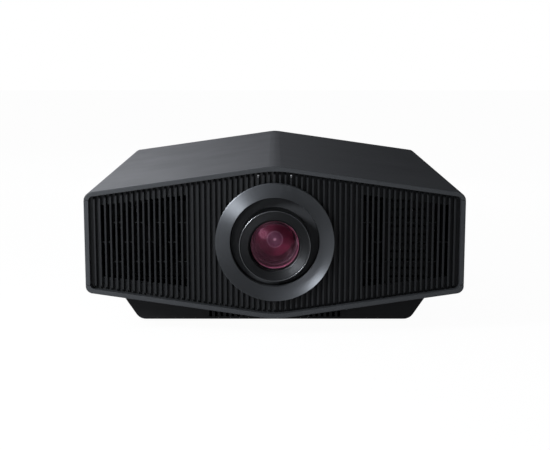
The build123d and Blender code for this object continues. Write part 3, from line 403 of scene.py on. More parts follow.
# Lens glasses: a meniscus at the front and a domed second element, both of polished glass with a
# magenta anti-reflection coating, a blackened baffle between them and a small group behind.
def glass(name, haze, tint, coat_tint):
    finish = bpy.data.materials.new(name)
    finish.use_nodes = True
    tree = finish.node_tree
    shader = tree.nodes["Principled BSDF"]
    for label, value in {
        "Base Color": tint,
        "IOR": 1.5,
        "Transmission Weight": 1.0,
        "Specular Tint": coat_tint,
    }.items():
        shader.inputs[label].default_value = value
    polish = noise_in(tree, tree.nodes.new("ShaderNodeTexCoord").outputs["Object"], 60.0, 2.0)
    hazed = ranged_in(tree, polish.outputs["Fac"], haze * 0.9, haze * 1.1)
    tree.links.new(hazed, shader.inputs["Roughness"])
    clear = tree.nodes.new("ShaderNodeBsdfTransparent")
    clear.inputs["Color"].default_value = tint
    lit_through = tree.nodes.new("ShaderNodeMixShader")
    tree.links.new(tree.nodes.new("ShaderNodeLightPath").outputs["Is Shadow Ray"], lit_through.inputs["Fac"])
    tree.links.new(shader.outputs["BSDF"], lit_through.inputs[1])
    tree.links.new(clear.outputs["BSDF"], lit_through.inputs[2])
    tree.links.new(lit_through.outputs["Shader"], tree.nodes["Material Output"].inputs["Surface"])
    return finish


def arc(radius, rim_y, sag, steps=18):
    ball = (radius**2 + sag**2) / (2 * sag)
    span = math.asin(radius / abs(ball))
    turns = [span * step / steps for step in range(steps + 1)]
    return [(abs(ball) * math.sin(t), rim_y - sag + ball * (1 - math.cos(t))) for t in turns]


RIM_PLAY = 0.0003
BACK_INSET = 0.003
BACK_HOLLOW = 0.003
front_low, front_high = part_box("front_glass")
glass_front = arc(GLASS_R - RIM_PLAY, RIM_Y, RIM_Y - front_low.y)
glass_back = arc(GLASS_R - BACK_INSET, front_high.y, BACK_HOLLOW)
outline = glass_front + [(front_high.x, RIM_Y), (front_high.x, front_high.y)] + glass_back[::-1]
front_element = turned("front_element", outline, lens_axis, steps=128, smooth=30)
coated_front = glass("coated_front", 0.13, (1, 0.97, 0.98, 1), (0.80, 0.27, 0.42, 1))
fit(front_element, coated_front, "lens", "glass", "front_glass")

second_low, second_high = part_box("second_glass")
SECOND_Y = LENS_FRONT + 0.038
SECOND_R = second_high.x
SECOND_T = 0.006
SECOND_LAND = 0.003
BELLY_R = 0.0195
dome_y = SECOND_Y - SECOND_T
outline = arc(SECOND_R - SECOND_LAND, dome_y, dome_y - second_low.y, 24)
outline += [(SECOND_R, dome_y), (SECOND_R, SECOND_Y)]
outline += arc(BELLY_R, SECOND_Y, SECOND_Y - second_high.y)[::-1]
second_element = turned("second_element", outline, lens_axis, steps=128, smooth=30)
coated_second = glass("coated_second", 0.05, (1, 0.80, 0.88, 1), (0.16, 0.04, 0.08, 1))
fit(second_element, coated_second, "lens", "glass", "second_glass")

BAFFLE_STEPS = 6
BAFFLE_GAP = 0.0005
BAFFLE_WALL = 0.0004
BAFFLE_TAPER = 0.0022
BARREL_PLAY = 0.0002
baffle_r = SECOND_R - BARREL_PLAY
baffle_y = (front_high.y + BAFFLE_GAP, dome_y - BAFFLE_GAP)
baffle_pitch = (baffle_y[1] - baffle_y[0]) / BAFFLE_STEPS
baffle = [(baffle_r, baffle_y[1]), (baffle_r, baffle_y[0])]
for step in range(BAFFLE_STEPS):
    y = baffle_y[0] + baffle_pitch * step
    inner = baffle_r - BAFFLE_WALL - BAFFLE_TAPER * step / BAFFLE_STEPS
    baffle += [(inner, y), (inner - BAFFLE_WALL, y + baffle_pitch)]
baffle.append(baffle[0])


def lacquer(name, colour, roughness):
    values = {"Colour": colour, "Roughness": roughness, "Axis height": LENS_Z}
    return finish_with(name, turnings, values, 0.1, 0.00003, {"Specular IOR Level": 0.5})


wine_black = lacquer("wine_black", (0.010, 0.003, 0.005, 1), 0.3)
fit(turned("lens_baffle", baffle, lens_axis, steps=128), wine_black, "lens", "barrel")

# painted reflection: the front band of the baffle is rose, standing in for the coating's magenta crescent;
# the lamps light its lower right side
EDGE_DEPTH = 0.0035
EDGE_T = 0.0004
edge_r = SECOND_R - 2 * EDGE_T
edge_y = baffle_y[0] - BARREL_PLAY
edge = [
    (edge_r, edge_y),
    (edge_r - EDGE_T, edge_y),
    (edge_r - 2 * EDGE_T, edge_y + EDGE_DEPTH),
    (edge_r, edge_y + EDGE_DEPTH),
    (edge_r, edge_y),
]
painted_crescent = lacquer("rose_painted_reflection", (0.30, 0.07, 0.13, 1), 0.35)
fit(turned("glass_edge", edge, lens_axis, steps=128), painted_crescent, "lens", "barrel")

EYE_Y = second_high.y + 0.004
EYE_R = 0.0058
BORE_R = 0.0198
STOP_R = 0.0125
BOWL_STEPS = 4
BOWL_DEPTH = 0.0065
BOWL_LIP = 0.0006
BOWL_RISE = 0.0009
eye_back = EYE_Y + 0.002
stop_back = EYE_Y + 0.003
bowl = [(BORE_R, EYE_Y - BOWL_DEPTH), (BORE_R, stop_back), (STOP_R, stop_back)]
for step in range(BOWL_STEPS):
    inner = STOP_R + (BORE_R - STOP_R) * step / BOWL_STEPS
    depth = EYE_Y - BOWL_LIP - (BOWL_DEPTH - BOWL_LIP) * step / BOWL_STEPS
    bowl += [(inner, depth), (inner + BOWL_LIP, depth - BOWL_RISE)]
bowl.append(bowl[0])
fit(turned("aperture_stop", bowl, lens_axis, steps=96), wine_black, "lens", "barrel")
COLLAR_EDGE = 0.0004
COLLAR_FALL = 0.0012
collar = [
    (EYE_R, eye_back),
    (EYE_R, EYE_Y - COLLAR_EDGE),
    (EYE_R + COLLAR_EDGE, EYE_Y - 2 * COLLAR_EDGE),
    (EYE_R + 2.5 * COLLAR_EDGE, EYE_Y - 1.5 * COLLAR_EDGE),
    (STOP_R, EYE_Y + COLLAR_FALL),
    (STOP_R, eye_back),
    (EYE_R, eye_back),
]
wine_metal = turned_metal("wine_metal", (0.15, 0.017, 0.045, 1), 0.5, LENS_Z, 1.0)
fit(turned("eye_collar", collar, lens_axis, steps=96), wine_metal, "lens", "barrel")
eye_r = EYE_R - BARREL_PLAY
eye_outline = arc(eye_r, EYE_Y + 0.001, 0.002) + [(eye_r, eye_back), (0, eye_back)]
# painted reflection: the eye dome's mauve colour stands in for the coating's violet reflection; its gloss
# also reflects the lamps
eye_painted_reflection = lacquer("eye_painted_reflection", (0.17, 0.08, 0.13, 1), 0.08)
fit(turned("eye_element", eye_outline, lens_axis, steps=64), eye_painted_reflection, "lens", "glass")
# painted highlight: a small pale dome at the middle of the eye stands in for the white catchlight of a lamp
CORE_R = 0.0016
CORE_SAG = 0.0006
core = arc(CORE_R, EYE_Y - CORE_SAG, CORE_SAG, 8) + [(CORE_R, EYE_Y), (0, EYE_Y)]
painted_catchlight = lacquer("painted_catchlight", (0.85, 0.72, 0.80, 1), 0.1)
fit(turned("eye_core", core, lens_axis, steps=48), painted_catchlight, "lens", "glass")


def wire(name, radius, along, thick):
    loop = [(thick * math.cos(math.pi * n / 6), thick * math.sin(math.pi * n / 6)) for n in range(13)]
    return turned(name, [(radius + out, along + deep) for out, deep in loop], lens_axis, steps=160)


# a thin ring round the eye, whose pale pink colour is a painted highlight; the lamps light it as well
eye_ring_painted_highlight = lacquer("eye_ring_painted_highlight", (0.50, 0.34, 0.42, 1), 0.25)
fit(wire("eye_ring", EYE_R + 0.0002, EYE_Y - 0.0009, 0.0003), eye_ring_painted_highlight, "lens", "barrel")
# painted reflection: the rosy ring stands in for the thin bright arc that the coated glasses reflect; the
# lamps light it too
rose_arc_painted_reflection = lacquer("rose_arc_painted_reflection", (0.22, 0.10, 0.14, 1), 0.25)
fit(wire("retainer_lip", SECOND_R - 0.0036, SECOND_Y - 0.0088, 0.0003), rose_arc_painted_reflection, "lens", "barrel")

SHIELD_GAP = 0.0014
SHIELD_T = 0.0004
shield_in = BARREL_R + BARREL_PLAY
shield_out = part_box("lens_barrel")[1].x - BARREL_PLAY
shield_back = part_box("lens_aperture_sleeve")[1].y + SHIELD_GAP
shield = [
    (shield_in, shield_back - SHIELD_T),
    (shield_out, shield_back - SHIELD_T),
    (shield_out, shield_back),
    (shield_in, shield_back),
    (shield_in, shield_back - SHIELD_T),
]
shield_black = plastic("shield_black", grey(0.036, 0.05), 0.7, 0.2)
fit(turned("shield_face", shield, lens_axis, steps=96), shield_black, "lens", "barrel")

polished = turned_metal("polished_edge", grey(0.24, 0.03), 0.25, LENS_Z)
fit(wire("rim_bead", BARREL_R - 0.0006, LENS_FRONT + 0.0005, 0.00045), polished, "lens", "barrel")


# Front grille: a black moulded panel of upright ribs with open gaps at both ends, clipped into the
# mouth of the housing. A perforated steel plate lies behind the right-hand vent.
grille_black = plastic("grille_black", grey(0.0105, 0.08), 0.40, 0.32)
dress(grille_black, "front_grille", "rear_grille")
dress(metal("coated_mesh", grey(0.02), 0.5), "vent_mesh_plate")


# Indicator light guides: two clear moulded pins at the top of the ribs that carry the light of
# the status lamps to the front, glowing white round their middle.
guide_low, guide_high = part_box("indicator_light_guides")
FLANGE_R = 0.0018
PIN_R = 0.0009
PIN_TALL = 0.0008
TIP_SAG = 0.0004
GUIDE_FLANGE = 0.002
GLOW_RISE = 0.0002
GLOW_SPAN = (0.0007, 0.0014)
GLOW_DIM = 0.08
guide_z = middle("indicator_light_guides").z
guides = []
for x in (guide_low.x + FLANGE_R, guide_high.x - FLANGE_R):
    flange_y = guide_high.y - GUIDE_FLANGE
    outline = arc(PIN_R, guide_low.y + TIP_SAG, TIP_SAG, 6)
    outline += [(PIN_R, flange_y), (FLANGE_R, flange_y), (FLANGE_R, guide_high.y), (0, guide_high.y)]
    guide = turned("guide", outline, (x, 0, guide_z), steps=24)
    for side in (-1, 1):
        pick_faces(guide, lambda face: side * (face.center.z - guide_z) > 0)
        bpy.ops.mesh.split()
        bpy.ops.transform.translate(value=(0, 0, side * PIN_TALL))
        bpy.ops.object.mode_set(mode="OBJECT")
    guides.append(guide)
lit = plastic("lit_guide", (0.35, 0.36, 0.38, 1), 0.2, 0.5, 3000.0, 0.0)
tree = lit.node_tree
shader = tree.nodes["Principled BSDF"]
parts = tree.nodes.new("ShaderNodeSeparateXYZ")
tree.links.new(tree.nodes.new("ShaderNodeTexCoord").outputs["Object"], parts.inputs["Vector"])
level = math_in(tree, "SUBTRACT", parts.outputs["Z"], guide_z + GLOW_RISE)
off_centre = math_in(tree, "ABSOLUTE", level)
fade = ranged_in(tree, off_centre, 1.0, GLOW_DIM, *GLOW_SPAN)
glow_colour = shaded_in(tree, shader.inputs["Base Color"].links[0].from_socket, fade)
tree.links.new(glow_colour, shader.inputs["Base Color"])
tree.links.new(glow_colour, shader.inputs["Emission Color"])
shader.inputs["Emission Strength"].default_value = 1.0
fit(joined("light_guides", guides), lit, "projector", "light_guide", "indicator_light_guides")


# Lens ring: a dished aluminium ring, turned and dark anodised, whose fine lathe marks spread the
# light into two opposite fans. Behind it a matt black sleeve closes the gap round the barrel.
bezel_low, bezel_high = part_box("lens_ring")
RING_R = (bezel_high.x - bezel_low.x) / 2
ring_axis = (0, 0, (bezel_low.z + bezel_high.z) / 2)
RING_FRONT = bezel_low.y
APERTURE_R = 0.0545
DISH = 0.0035
FLANGE_T = 0.00725
COLLAR_R = RING_R - 0.0025
SEAT_R = COLLAR_R - 0.0075
SEAT_Y = RING_FRONT + DISH + 0.006
outline = [
    (APERTURE_R, RING_FRONT + DISH),
    (RING_R, RING_FRONT),
    (RING_R, RING_FRONT + FLANGE_T),
    (COLLAR_R, RING_FRONT + FLANGE_T),
    (COLLAR_R, bezel_high.y),
    (SEAT_R, bezel_high.y),
    (SEAT_R, SEAT_Y),
    (APERTURE_R, SEAT_Y),
    (APERTURE_R, RING_FRONT + DISH),
]
lens_bezel = turned("lens_bezel", outline, ring_axis, steps=192)
soften(lens_bezel, 0.0005, 3)
anodised = turned_metal("anodised_ring", grey(0.25, 0.05), 0.60, ring_axis[2], 1.0)
fit(lens_bezel, anodised, "projector", "lens_ring", "lens_ring")

SLEEVE_LAND = 0.0035
SLEEVE_STEP = 0.0005
sleeve_low, sleeve_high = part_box("lens_aperture_sleeve")
flange_back = sleeve_low.y + 0.006
outline = [
    (APERTURE_R, sleeve_low.y),
    (APERTURE_R, sleeve_low.y + SLEEVE_LAND),
    (APERTURE_R - SLEEVE_STEP, sleeve_low.y + SLEEVE_LAND + SLEEVE_STEP),
    (APERTURE_R - SLEEVE_STEP, flange_back),
    (APERTURE_R - 2 * SLEEVE_STEP, flange_back + SLEEVE_STEP),
    (APERTURE_R - 2 * SLEEVE_STEP, sleeve_high.y),
    (APERTURE_R + 2 * SLEEVE_STEP, sleeve_high.y),
    (APERTURE_R + 4 * SLEEVE_STEP, flange_back),
    (sleeve_high.x, flange_back),
    (sleeve_high.x, sleeve_low.y),
    (APERTURE_R, sleeve_low.y),
]
sleeve_black = plastic("sleeve_black", grey(0.008, 0.04), 0.55, 0.15)
aperture_sleeve = turned("aperture_sleeve", outline, ring_axis, steps=128)
fit(aperture_sleeve, sleeve_black, "projector", "sleeve", "lens_aperture_sleeve")


# Housing: four moulded covers with a satin charcoal paint, joined by tongues along the side seams.
# Thin near-black sheets lie inside both side panels as painted shade, darkening the inner faces seen
# through the front vents; open foam lies behind the rear vents, and a slip of foam closes each end of
# the seams, where the tongues stop short of the front and rear frames.
charcoal = plastic("charcoal_paint", grey(0.036, 0.07), 0.45, 0.3, 2200.0, 0.2)
dress(charcoal, "top_cover", "left_side_panel", "right_side_panel", "lower_cover")


def bar(name, low, high, edge):
    bpy.ops.object.select_all(action="DESELECT")
    bpy.ops.mesh.primitive_cube_add(size=1.0, location=(0, 0, 0))
    piece = bpy.context.object
    piece.name = piece.data.name = name
    bpy.ops.object.mode_set(mode="EDIT")
    bpy.ops.mesh.select_all(action="SELECT")
    bpy.ops.transform.resize(value=Vector(high) - Vector(low), center_override=(0, 0, 0))
    bpy.ops.transform.translate(value=(Vector(high) + Vector(low)) / 2)
    bpy.ops.object.mode_set(mode="OBJECT")
    soften(piece, edge)
    return piece


panel_low, panel_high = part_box("right_side_panel")
LINER_GAP = 0.0031
LINER_T = 0.0005
LINER_EDGE = 0.0002
LINER_Y = (-0.236, -0.040)
LINER_Z = (0.066, 0.170)
# painted shade: near-black sheets that darken the side panels' inner faces where they show through the vents
shade_sheet_black = plastic("shade_sheet_black", grey(0.003), 0.9, 0.05, 3000.0, 0.6)
liners = []
for side in (-1, 1):
    faces = sorted(side * (panel_high.x - LINER_GAP - depth) for depth in (0, LINER_T))
    low = (faces[0], LINER_Y[0], LINER_Z[0])
    liners.append(bar("liner", low, (faces[1], LINER_Y[1], LINER_Z[1]), LINER_EDGE))
fit(joined("side_liners", liners), shade_sheet_black, "projector", "housing")

FOAM_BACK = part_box("connector_panel")[0].y - 0.0005
FOAM_T = 0.0045
FOAM_EDGE = 0.0012
FOAM_X = (0.100, 0.215)
FOAM_Z = (0.064, 0.170)
foam_black = plastic("foam_black", grey(0.004), 0.95, 0.05, 700.0, 0.8)
foams = []
for side in (-1, 1):
    ends = sorted(side * x for x in FOAM_X)
    low = (ends[0], FOAM_BACK - FOAM_T, FOAM_Z[0])
    foams.append(bar("foam", low, (ends[1], FOAM_BACK, FOAM_Z[1]), FOAM_EDGE))
fit(joined("vent_foam", foams), foam_black, "projector", "mesh")

SEAM_GAP = 0.0006
SLIP_PLAY = 0.00002
SLIP_SET = 0.0015
SLIP_END = 0.0088
FRONT_SLIP_X = (0.0012, 0.0053)
REAR_SLIP_X = (0.0012, 0.0028)
SLIP_EDGE = 0.0001
front_slip = (panel_low.y + SLIP_SET, panel_low.y + SLIP_END, FRONT_SLIP_X)
rear_slip = (panel_high.y - SLIP_END, panel_high.y - SLIP_SET, REAR_SLIP_X)
slips = []
for side in (-1, 1):
    for start, end, depths in (front_slip, rear_slip):
        across = sorted(side * (panel_high.x - depth) for depth in depths)
        for floor_z in (panel_high.z + SLIP_PLAY, panel_low.z - SEAM_GAP + SLIP_PLAY):
            low = (across[0], start, floor_z)
            high = (across[1], end, floor_z + SEAM_GAP - 2 * SLIP_PLAY)
            slips.append(bar("slip", low, high, SLIP_EDGE))
fit(joined("seam_slips", slips), foam_black, "projector", "housing")


# Base fastenings: four black pan-head screws with a cross recess, driven into bosses of the base,
# and four tapped brass inserts for a ceiling bracket, pressed into bosses beside them.
HEAD_SHARES = ((0.5, 1.0), (0.85, 0.75), (1.0, 0.35))
RECESS_W = 0.3
RECESS_SPAN = 1.2
RECESS_DEPTH = 1.4


def crosshead(name, spot, axis, seat, top, radius, shank=0.0, end=None):
    rise = top - seat
    head = [(0, top)] + [(radius * out, seat + rise * up) for out, up in HEAD_SHARES]
    head += [(radius, seat), (shank, seat)]
    if end is not None:
        head += [(shank, end), (0, end)]
    screw = turned(name, head, spot, axis, steps=32)
    for arm in range(3):
        if arm == axis:
            continue
        size = Vector((radius, radius, radius)) * RECESS_W
        size[arm] = radius * RECESS_SPAN
        size[axis] = abs(rise) * RECESS_DEPTH
        place = Vector(spot)
        place[axis] = top
        bpy.ops.object.select_all(action="DESELECT")
        bpy.ops.mesh.primitive_cube_add(size=1.0, location=place, scale=size)
        cutter = bpy.context.object
        bpy.context.view_layer.objects.active = screw
        recess = screw.modifiers.new("recess", "BOOLEAN")
        recess.object = cutter
        bpy.ops.object.modifier_apply(modifier=recess.name)
        bpy.data.objects.remove(cutter)
    return screw


HEAD_R = 0.0034
HEAD_H = 0.0020
SHANK_R = 0.0016
screw_low, screw_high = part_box("base_screws")
base_heads = [
    crosshead("base_screw", (x, y, 0), 2, screw_low.z + HEAD_H, screw_low.z, HEAD_R, SHANK_R, screw_high.z)
    for x in (screw_low.x + HEAD_R, screw_high.x - HEAD_R)
    for y in (screw_low.y + HEAD_R, screw_high.y - HEAD_R)
]
black_zinc = metal("black_zinc", grey(0.06), 0.4)
fit(joined("base_screw_heads", base_heads), black_zinc, "projector", "screw", "base_screws")
dress(metal("brass", (0.62, 0.44, 0.16, 1), 0.3), "ceiling_mount_inserts")


# Rear sockets: plated shells on the main board behind a black steel connector panel, with moulded
# insulators and gilt contacts, and a moulded mains inlet above them with three plated blades.
dress(metal("connector_sheet", grey(0.030), 0.5, 1800.0), "connector_panel")
plated = metal("plated_shell", grey(0.50, 0.02), 0.3)
dress(plated, "hdmi_sockets", "lan_socket", "usb_socket", "serial_port")
socket_black = plastic("socket_black", grey(0.010), 0.4, 0.4)
dress(socket_black, "jack_sockets", "ac_inlet")
gilt = metal("gilt_contact", (0.75, 0.52, 0.18, 1), 0.25)

lan_low, lan_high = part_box("lan_socket")
SEAT_Z = lan_low.z
OPEN_Y = lan_high.y
SKIN = 0.00005
TONGUE_SET = 0.0015
CONTACT_SET = (0.0020, 0.0022)
CONTACT_T = 0.00015
CONTACT_EDGE = 0.00003
INSULATOR_EDGE = 0.0002
HDMI_HALF = 0.00775
HDMI_TONGUE = (0.00525, 0.0032, 0.0044, 0.0095, 9)
USB_TONGUE = (0.0055, 0.0042, 0.0058, 0.0105, 4)
hdmi_low, hdmi_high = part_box("hdmi_sockets")
tongues = [
    (hdmi_low.x + HDMI_HALF, HDMI_TONGUE),
    (hdmi_high.x - HDMI_HALF, HDMI_TONGUE),
    (middle("usb_socket").x, USB_TONGUE),
]
insulators = []
contacts = []
for x, (half, low_z, high_z, depth, count) in tongues:
    start = (x - half - SKIN, OPEN_Y - depth, SEAT_Z + low_z - SKIN)
    stop = (x + half + SKIN, OPEN_Y - TONGUE_SET + SKIN, SEAT_Z + high_z + SKIN)
    insulators.append(bar("tongue", start, stop, INSULATOR_EDGE))
    pitch = 2 * half / (count + 0.5)
    for n in range(count):
        mid = x + (n - (count - 1) / 2) * pitch
        start = (mid - pitch / 4, OPEN_Y - depth + CONTACT_SET[0], SEAT_Z + high_z)
        stop = (mid + pitch / 4, OPEN_Y - CONTACT_SET[1], SEAT_Z + high_z + CONTACT_T)
        contacts.append(bar("contact", start, stop, CONTACT_EDGE))

LAN_CONTACTS = 8
LAN_PITCH = 0.00102
LAN_CONTACT_HALF = 0.0002
LAN_CONTACT_Y = (0.0110, 0.0030)
LAN_CONTACT_Z = (0.0018, 0.0021)
LAN_BACK_HALF = 0.0063
LAN_BACK_Y = (0.0121, 0.0112)
LAN_BACK_Z = (0.0017, 0.0118)
lan_x = middle("lan_socket").x
start = (lan_x - LAN_BACK_HALF, OPEN_Y - LAN_BACK_Y[0], SEAT_Z + LAN_BACK_Z[0])
stop = (lan_x + LAN_BACK_HALF, OPEN_Y - LAN_BACK_Y[1], SEAT_Z + LAN_BACK_Z[1])
insulators.append(bar("lan_back", start, stop, INSULATOR_EDGE))
for n in range(LAN_CONTACTS):
    mid = lan_x + (n - (LAN_CONTACTS - 1) / 2) * LAN_PITCH
    start = (mid - LAN_CONTACT_HALF, OPEN_Y - LAN_CONTACT_Y[0], SEAT_Z + LAN_CONTACT_Z[0])
    stop = (mid + LAN_CONTACT_HALF, OPEN_Y - LAN_CONTACT_Y[1], SEAT_Z + LAN_CONTACT_Z[1])
    contacts.append(bar("contact", start, stop, CONTACT_EDGE))

SERIAL_HALF = 0.0072
SERIAL_Y = (0.0062, 0.0050)
SERIAL_Z = (0.0022, 0.0092)
SERIAL_EDGE = 0.0004
PIN_ROWS = ((0.0040, 4), (0.0075, 5))
PIN_PITCH = 0.0028
CONTACT_PIN_R = 0.00056
CONTACT_PIN_Y = (0.0008, 0.0009, 0.0013, 0.0055)
CONTACT_PIN_TIP = 0.00035
serial = middle("serial_port")
start = (serial.x - SERIAL_HALF, OPEN_Y - SERIAL_Y[0], SEAT_Z + SERIAL_Z[0])
stop = (serial.x + SERIAL_HALF, OPEN_Y - SERIAL_Y[1], SEAT_Z + SERIAL_Z[1])
insulators.append(bar("serial_face", start, stop, SERIAL_EDGE))
pin_radii = (0, CONTACT_PIN_TIP, CONTACT_PIN_R, CONTACT_PIN_R)
pin = [(radius, OPEN_Y - depth) for radius, depth in zip(pin_radii, CONTACT_PIN_Y)]
pin.append((0, OPEN_Y - CONTACT_PIN_Y[-1]))
for height, count in PIN_ROWS:
    for n in range(count):
        mid = serial.x + (n - (count - 1) / 2) * PIN_PITCH
        contacts.append(turned("pin", pin, (mid, 0, SEAT_Z + height), steps=12))
fit(joined("socket_insulators", insulators), socket_black, "projector", "socket_plastic")
fit(joined("socket_contacts", contacts), gilt, "projector", "socket_metal")

PANEL_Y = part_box("connector_panel")[1].y
POST_SPAN = 0.0125
POST_PROFILE = (
    (0, 0.0012), (0.0013, 0.0012), (0.0013, 0.0030), (0.0024, 0.0030), (0.0027, 0.0026), (0.0027, 0), (0, 0)
)
posts = []
post = [(radius, PANEL_Y + out) for radius, out in POST_PROFILE]
for side in (-1, 1):
    posts.append(turned("post", post, (serial.x + side * POST_SPAN, 0, serial.z), steps=6, smooth=20))

JACK_HALF = 0.0045
JACK_RISE = 0.006
COLLAR_PROFILE = (
    (0.0019, -0.0006), (0.0019, 0.0004), (0.0029, 0.0004), (0.0034, 0), (0.0034, -0.0006), (0.0019, -0.0006)
)
jack_low, jack_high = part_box("jack_sockets")
collar = [(radius, OPEN_Y + out) for radius, out in COLLAR_PROFILE]
for x in (jack_low.x + JACK_HALF, jack_high.x - JACK_HALF):
    posts.append(turned("collar", collar, (x, 0, SEAT_Z + JACK_RISE), steps=32))

BLADE_SPOTS = ((-0.007, -0.002), (0.007, -0.002), (0, 0.002))
BLADE_REACH = (0.015, 0.00395)
BLADE_HALF_W = 0.00105
BLADE_HALF_H = 0.00205
BLADE_EDGE = 0.0004
inlet = middle("ac_inlet")
INLET_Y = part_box("ac_inlet")[1].y
for across, up in BLADE_SPOTS:
    x = inlet.x + across
    z = inlet.z + up
    low = (x - BLADE_HALF_W, INLET_Y - BLADE_REACH[0], z - BLADE_HALF_H)
    high = (x + BLADE_HALF_W, INLET_Y - BLADE_REACH[1], z + BLADE_HALF_H)
    posts.append(bar("blade", low, high, BLADE_EDGE))
fit(joined("socket_fittings", posts), plated, "projector", "socket_metal")

PANEL_SCREW_X = 0.094
PANEL_SCREW_Z = 0.087
PANEL_HEAD_R = 0.0026
PANEL_HEAD_H = 0.0016
panel_screws = [
    crosshead("panel_screw", (x, 0, PANEL_SCREW_Z), 1, PANEL_Y, PANEL_Y + PANEL_HEAD_H, PANEL_HEAD_R)
    for x in (-PANEL_SCREW_X, PANEL_SCREW_X)
]
fit(joined("panel_screw_heads", panel_screws), black_zinc, "projector", "screw")


# Keypad: a satin plate in the right-hand panel with four moulded keys on a small board behind it.
# The keys carry only a raised ring and dots, in place of printed marks.
dress(plastic("keypad_plate", grey(0.014), 0.35, 0.4), "keypad_plate")
dress(plastic("key_grey", grey(0.045), 0.45, 0.4), "power_key", "input_key", "menu_key", "direction_key")
MARK_H = 0.00015
mark_white = plastic("mark_white", grey(0.45), 0.5, 0.4)


def key_mark(body, name, inner, outer, across, up):
    spot = middle(body) + Vector((0, across, up))
    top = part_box(body)[1].x + MARK_H
    root = top - 2 * MARK_H
    ring = [(inner, root), (inner, top), (outer, top), (outer, root), (inner, root)]
    if inner == 0:
        ring = ring[1:-1] + [(0, root)]
    return turned(name, ring, (0, spot.y, spot.z), axis=0, steps=32)


fit(key_mark("power_key", "power_ring", 0.0020, 0.0026, 0, 0), mark_white, "power_key", "key")
fit(key_mark("input_key", "input_dot", 0, 0.0007, 0, 0), mark_white, "input_key", "key")
fit(key_mark("menu_key", "menu_ring", 0.0012, 0.0016, 0, 0), mark_white, "menu_key", "key")
DOT_SPAN = 0.0078
direction_marks = [
    key_mark("direction_key", "direction_dot", 0, 0.0008, DOT_SPAN * across, DOT_SPAN * up)
    for across, up in ((1, 0), (0, 1), (-1, 0), (0, -1))
]
direction_marks.append(key_mark("direction_key", "direction_ring", 0.0038, 0.0042, 0, 0))
fit(joined("direction_marks", direction_marks), mark_white, "direction_key", "key")


# Studio: a white paper floor and a surround that is brighter on the left than on the right, a soft key
# lamp high at the left, a weak one left of the camera, and two behind for the roof and the back.
def ray_of(tree, *labels):
    path = tree.nodes.new("ShaderNodeLightPath")
    total = path.outputs[labels[0]]
    for label in labels[1:]:
        total = math_in(tree, "MAXIMUM", total, path.outputs[label])
    return total


world = bpy.data.worlds.new("studio")
bpy.context.scene.world = world
world.use_nodes = True
tree = world.node_tree
tree.nodes.clear()
surround = tree.nodes.new("ShaderNodeBackground")
direction = tree.nodes.new("ShaderNodeSeparateXYZ")
tree.links.new(tree.nodes.new("ShaderNodeTexCoord").outputs["Generated"], direction.inputs["Vector"])
surround.inputs["Color"].default_value = (0.95, 0.975, 1.07, 1)
SURROUND_LEFT = 0.45
SURROUND_RIGHT = 0.02
SURROUND_SPAN = (-0.16, 0.15)
falloff = ranged_in(tree, direction.outputs["X"], SURROUND_LEFT, SURROUND_RIGHT, *SURROUND_SPAN)
falloff.node.interpolation_type = "SMOOTHSTEP"
tree.links.new(falloff, surround.inputs["Strength"])
ambient = tree.nodes.new("ShaderNodeBackground")
ambient.inputs["Color"].default_value = (0.30, 0.30, 0.31, 1)
white = tree.nodes.new("ShaderNodeBackground")
white.inputs["Color"].default_value = (1, 1, 1, 1)
reflected = tree.nodes.new("ShaderNodeMixShader")
seen = tree.nodes.new("ShaderNodeMixShader")
tree.links.new(ray_of(tree, "Is Glossy Ray", "Is Transmission Ray"), reflected.inputs["Fac"])
tree.links.new(ambient.outputs["Background"], reflected.inputs[1])
tree.links.new(surround.outputs["Background"], reflected.inputs[2])
tree.links.new(ray_of(tree, "Is Camera Ray"), seen.inputs["Fac"])
tree.links.new(reflected.outputs["Shader"], seen.inputs[1])
tree.links.new(white.outputs["Background"], seen.inputs[2])
tree.links.new(seen.outputs["Shader"], tree.nodes.new("ShaderNodeOutputWorld").inputs["Surface"])

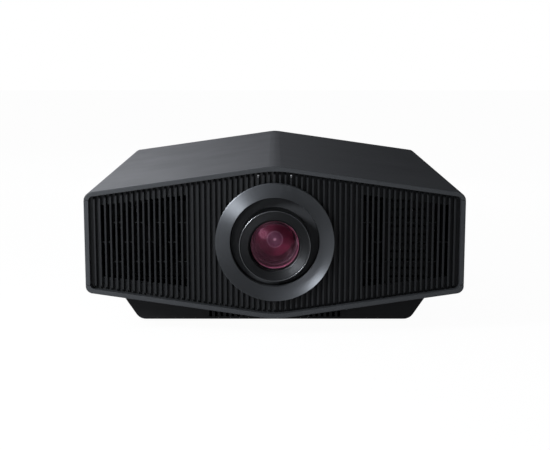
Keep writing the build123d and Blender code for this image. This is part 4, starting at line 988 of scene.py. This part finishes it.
bpy.ops.object.select_all(action="DESELECT")
bpy.ops.mesh.primitive_plane_add(size=12.0, location=(0, 0, 0))
floor = bpy.context.object
floor.name = "floor"
paper = bpy.data.materials.new("paper_floor")
paper.use_nodes = True
tree = paper.node_tree
shader = tree.nodes["Principled BSDF"]
shader.inputs["Base Color"].default_value = (0.85, 0.85, 0.85, 1)
shader.inputs["Roughness"].default_value = 1.0
shader.inputs["Specular IOR Level"].default_value = 0.0
glow = tree.nodes.new("ShaderNodeEmission")
glow.inputs["Color"].default_value = (1, 1, 1, 1)
glow.inputs["Strength"].default_value = 1.02
lifted = tree.nodes.new("ShaderNodeMixShader")
tree.links.new(math_in(tree, "MULTIPLY", ray_of(tree, "Is Camera Ray"), 0.95), lifted.inputs["Fac"])
tree.links.new(shader.outputs["BSDF"], lifted.inputs[1])
tree.links.new(glow.outputs["Emission"], lifted.inputs[2])
mirrored = tree.nodes.new("ShaderNodeMixShader")
far_floor = tree.nodes.new("ShaderNodeEmission")
far_floor.inputs["Color"].default_value = (0.08, 0.08, 0.085, 1)
dimmed = math_in(tree, "MULTIPLY", ray_of(tree, "Is Glossy Ray", "Is Transmission Ray"), 0.55)
tree.links.new(dimmed, mirrored.inputs["Fac"])
tree.links.new(lifted.outputs["Shader"], mirrored.inputs[1])
tree.links.new(far_floor.outputs["Emission"], mirrored.inputs[2])
tree.links.new(mirrored.outputs["Shader"], tree.nodes["Material Output"].inputs["Surface"])
floor.data.materials.append(paper)


def softbox(name, spot, aim, width, height, power):
    lamp = bpy.data.lights.new(name, "AREA")
    lamp.shape = "ELLIPSE"
    lamp.size = width
    lamp.size_y = height
    lamp.energy = power
    lamp.color = (0.96, 0.985, 1.04)
    lamp_object = bpy.data.objects.new(name, lamp)
    lamp_object.location = spot
    lamp_object.rotation_euler = (Vector(aim) - Vector(spot)).to_track_quat("-Z", "Y").to_euler()
    bpy.context.scene.collection.objects.link(lamp_object)


softbox("key", (-0.80, -0.90, 0.65), (0, -0.25, 0.12), 0.34, 0.34, 13.2)
softbox("front_left", (-0.436, -1.356, 0.354), (0, -0.264, 0.116), 0.34, 0.34, 1.3)
softbox("rear_left", (-0.75, 1.7, 1.0), (0, 0, 0.15), 0.9, 0.7, 3.0)
softbox("rear_low", (0, 1.35, 0.075), (0, 0.25, 0.10), 0.6, 0.1, 5.0)


# Camera: the photographed view, from in front and a little above, through a long lens that keeps
# the upright ribs nearly parallel.
camera_data = bpy.data.cameras.new("camera")
camera_data.lens = 76.25
camera_data.sensor_width = 36.0
camera = bpy.data.objects.new("camera", camera_data)
camera.location = (0.0003, -1.6365, 0.3677)
camera.rotation_euler = (math.radians(80.649), 0, 0)
bpy.context.scene.collection.objects.link(camera)
bpy.context.scene.camera = camera
bpy.context.scene.view_settings.view_transform = "Standard"
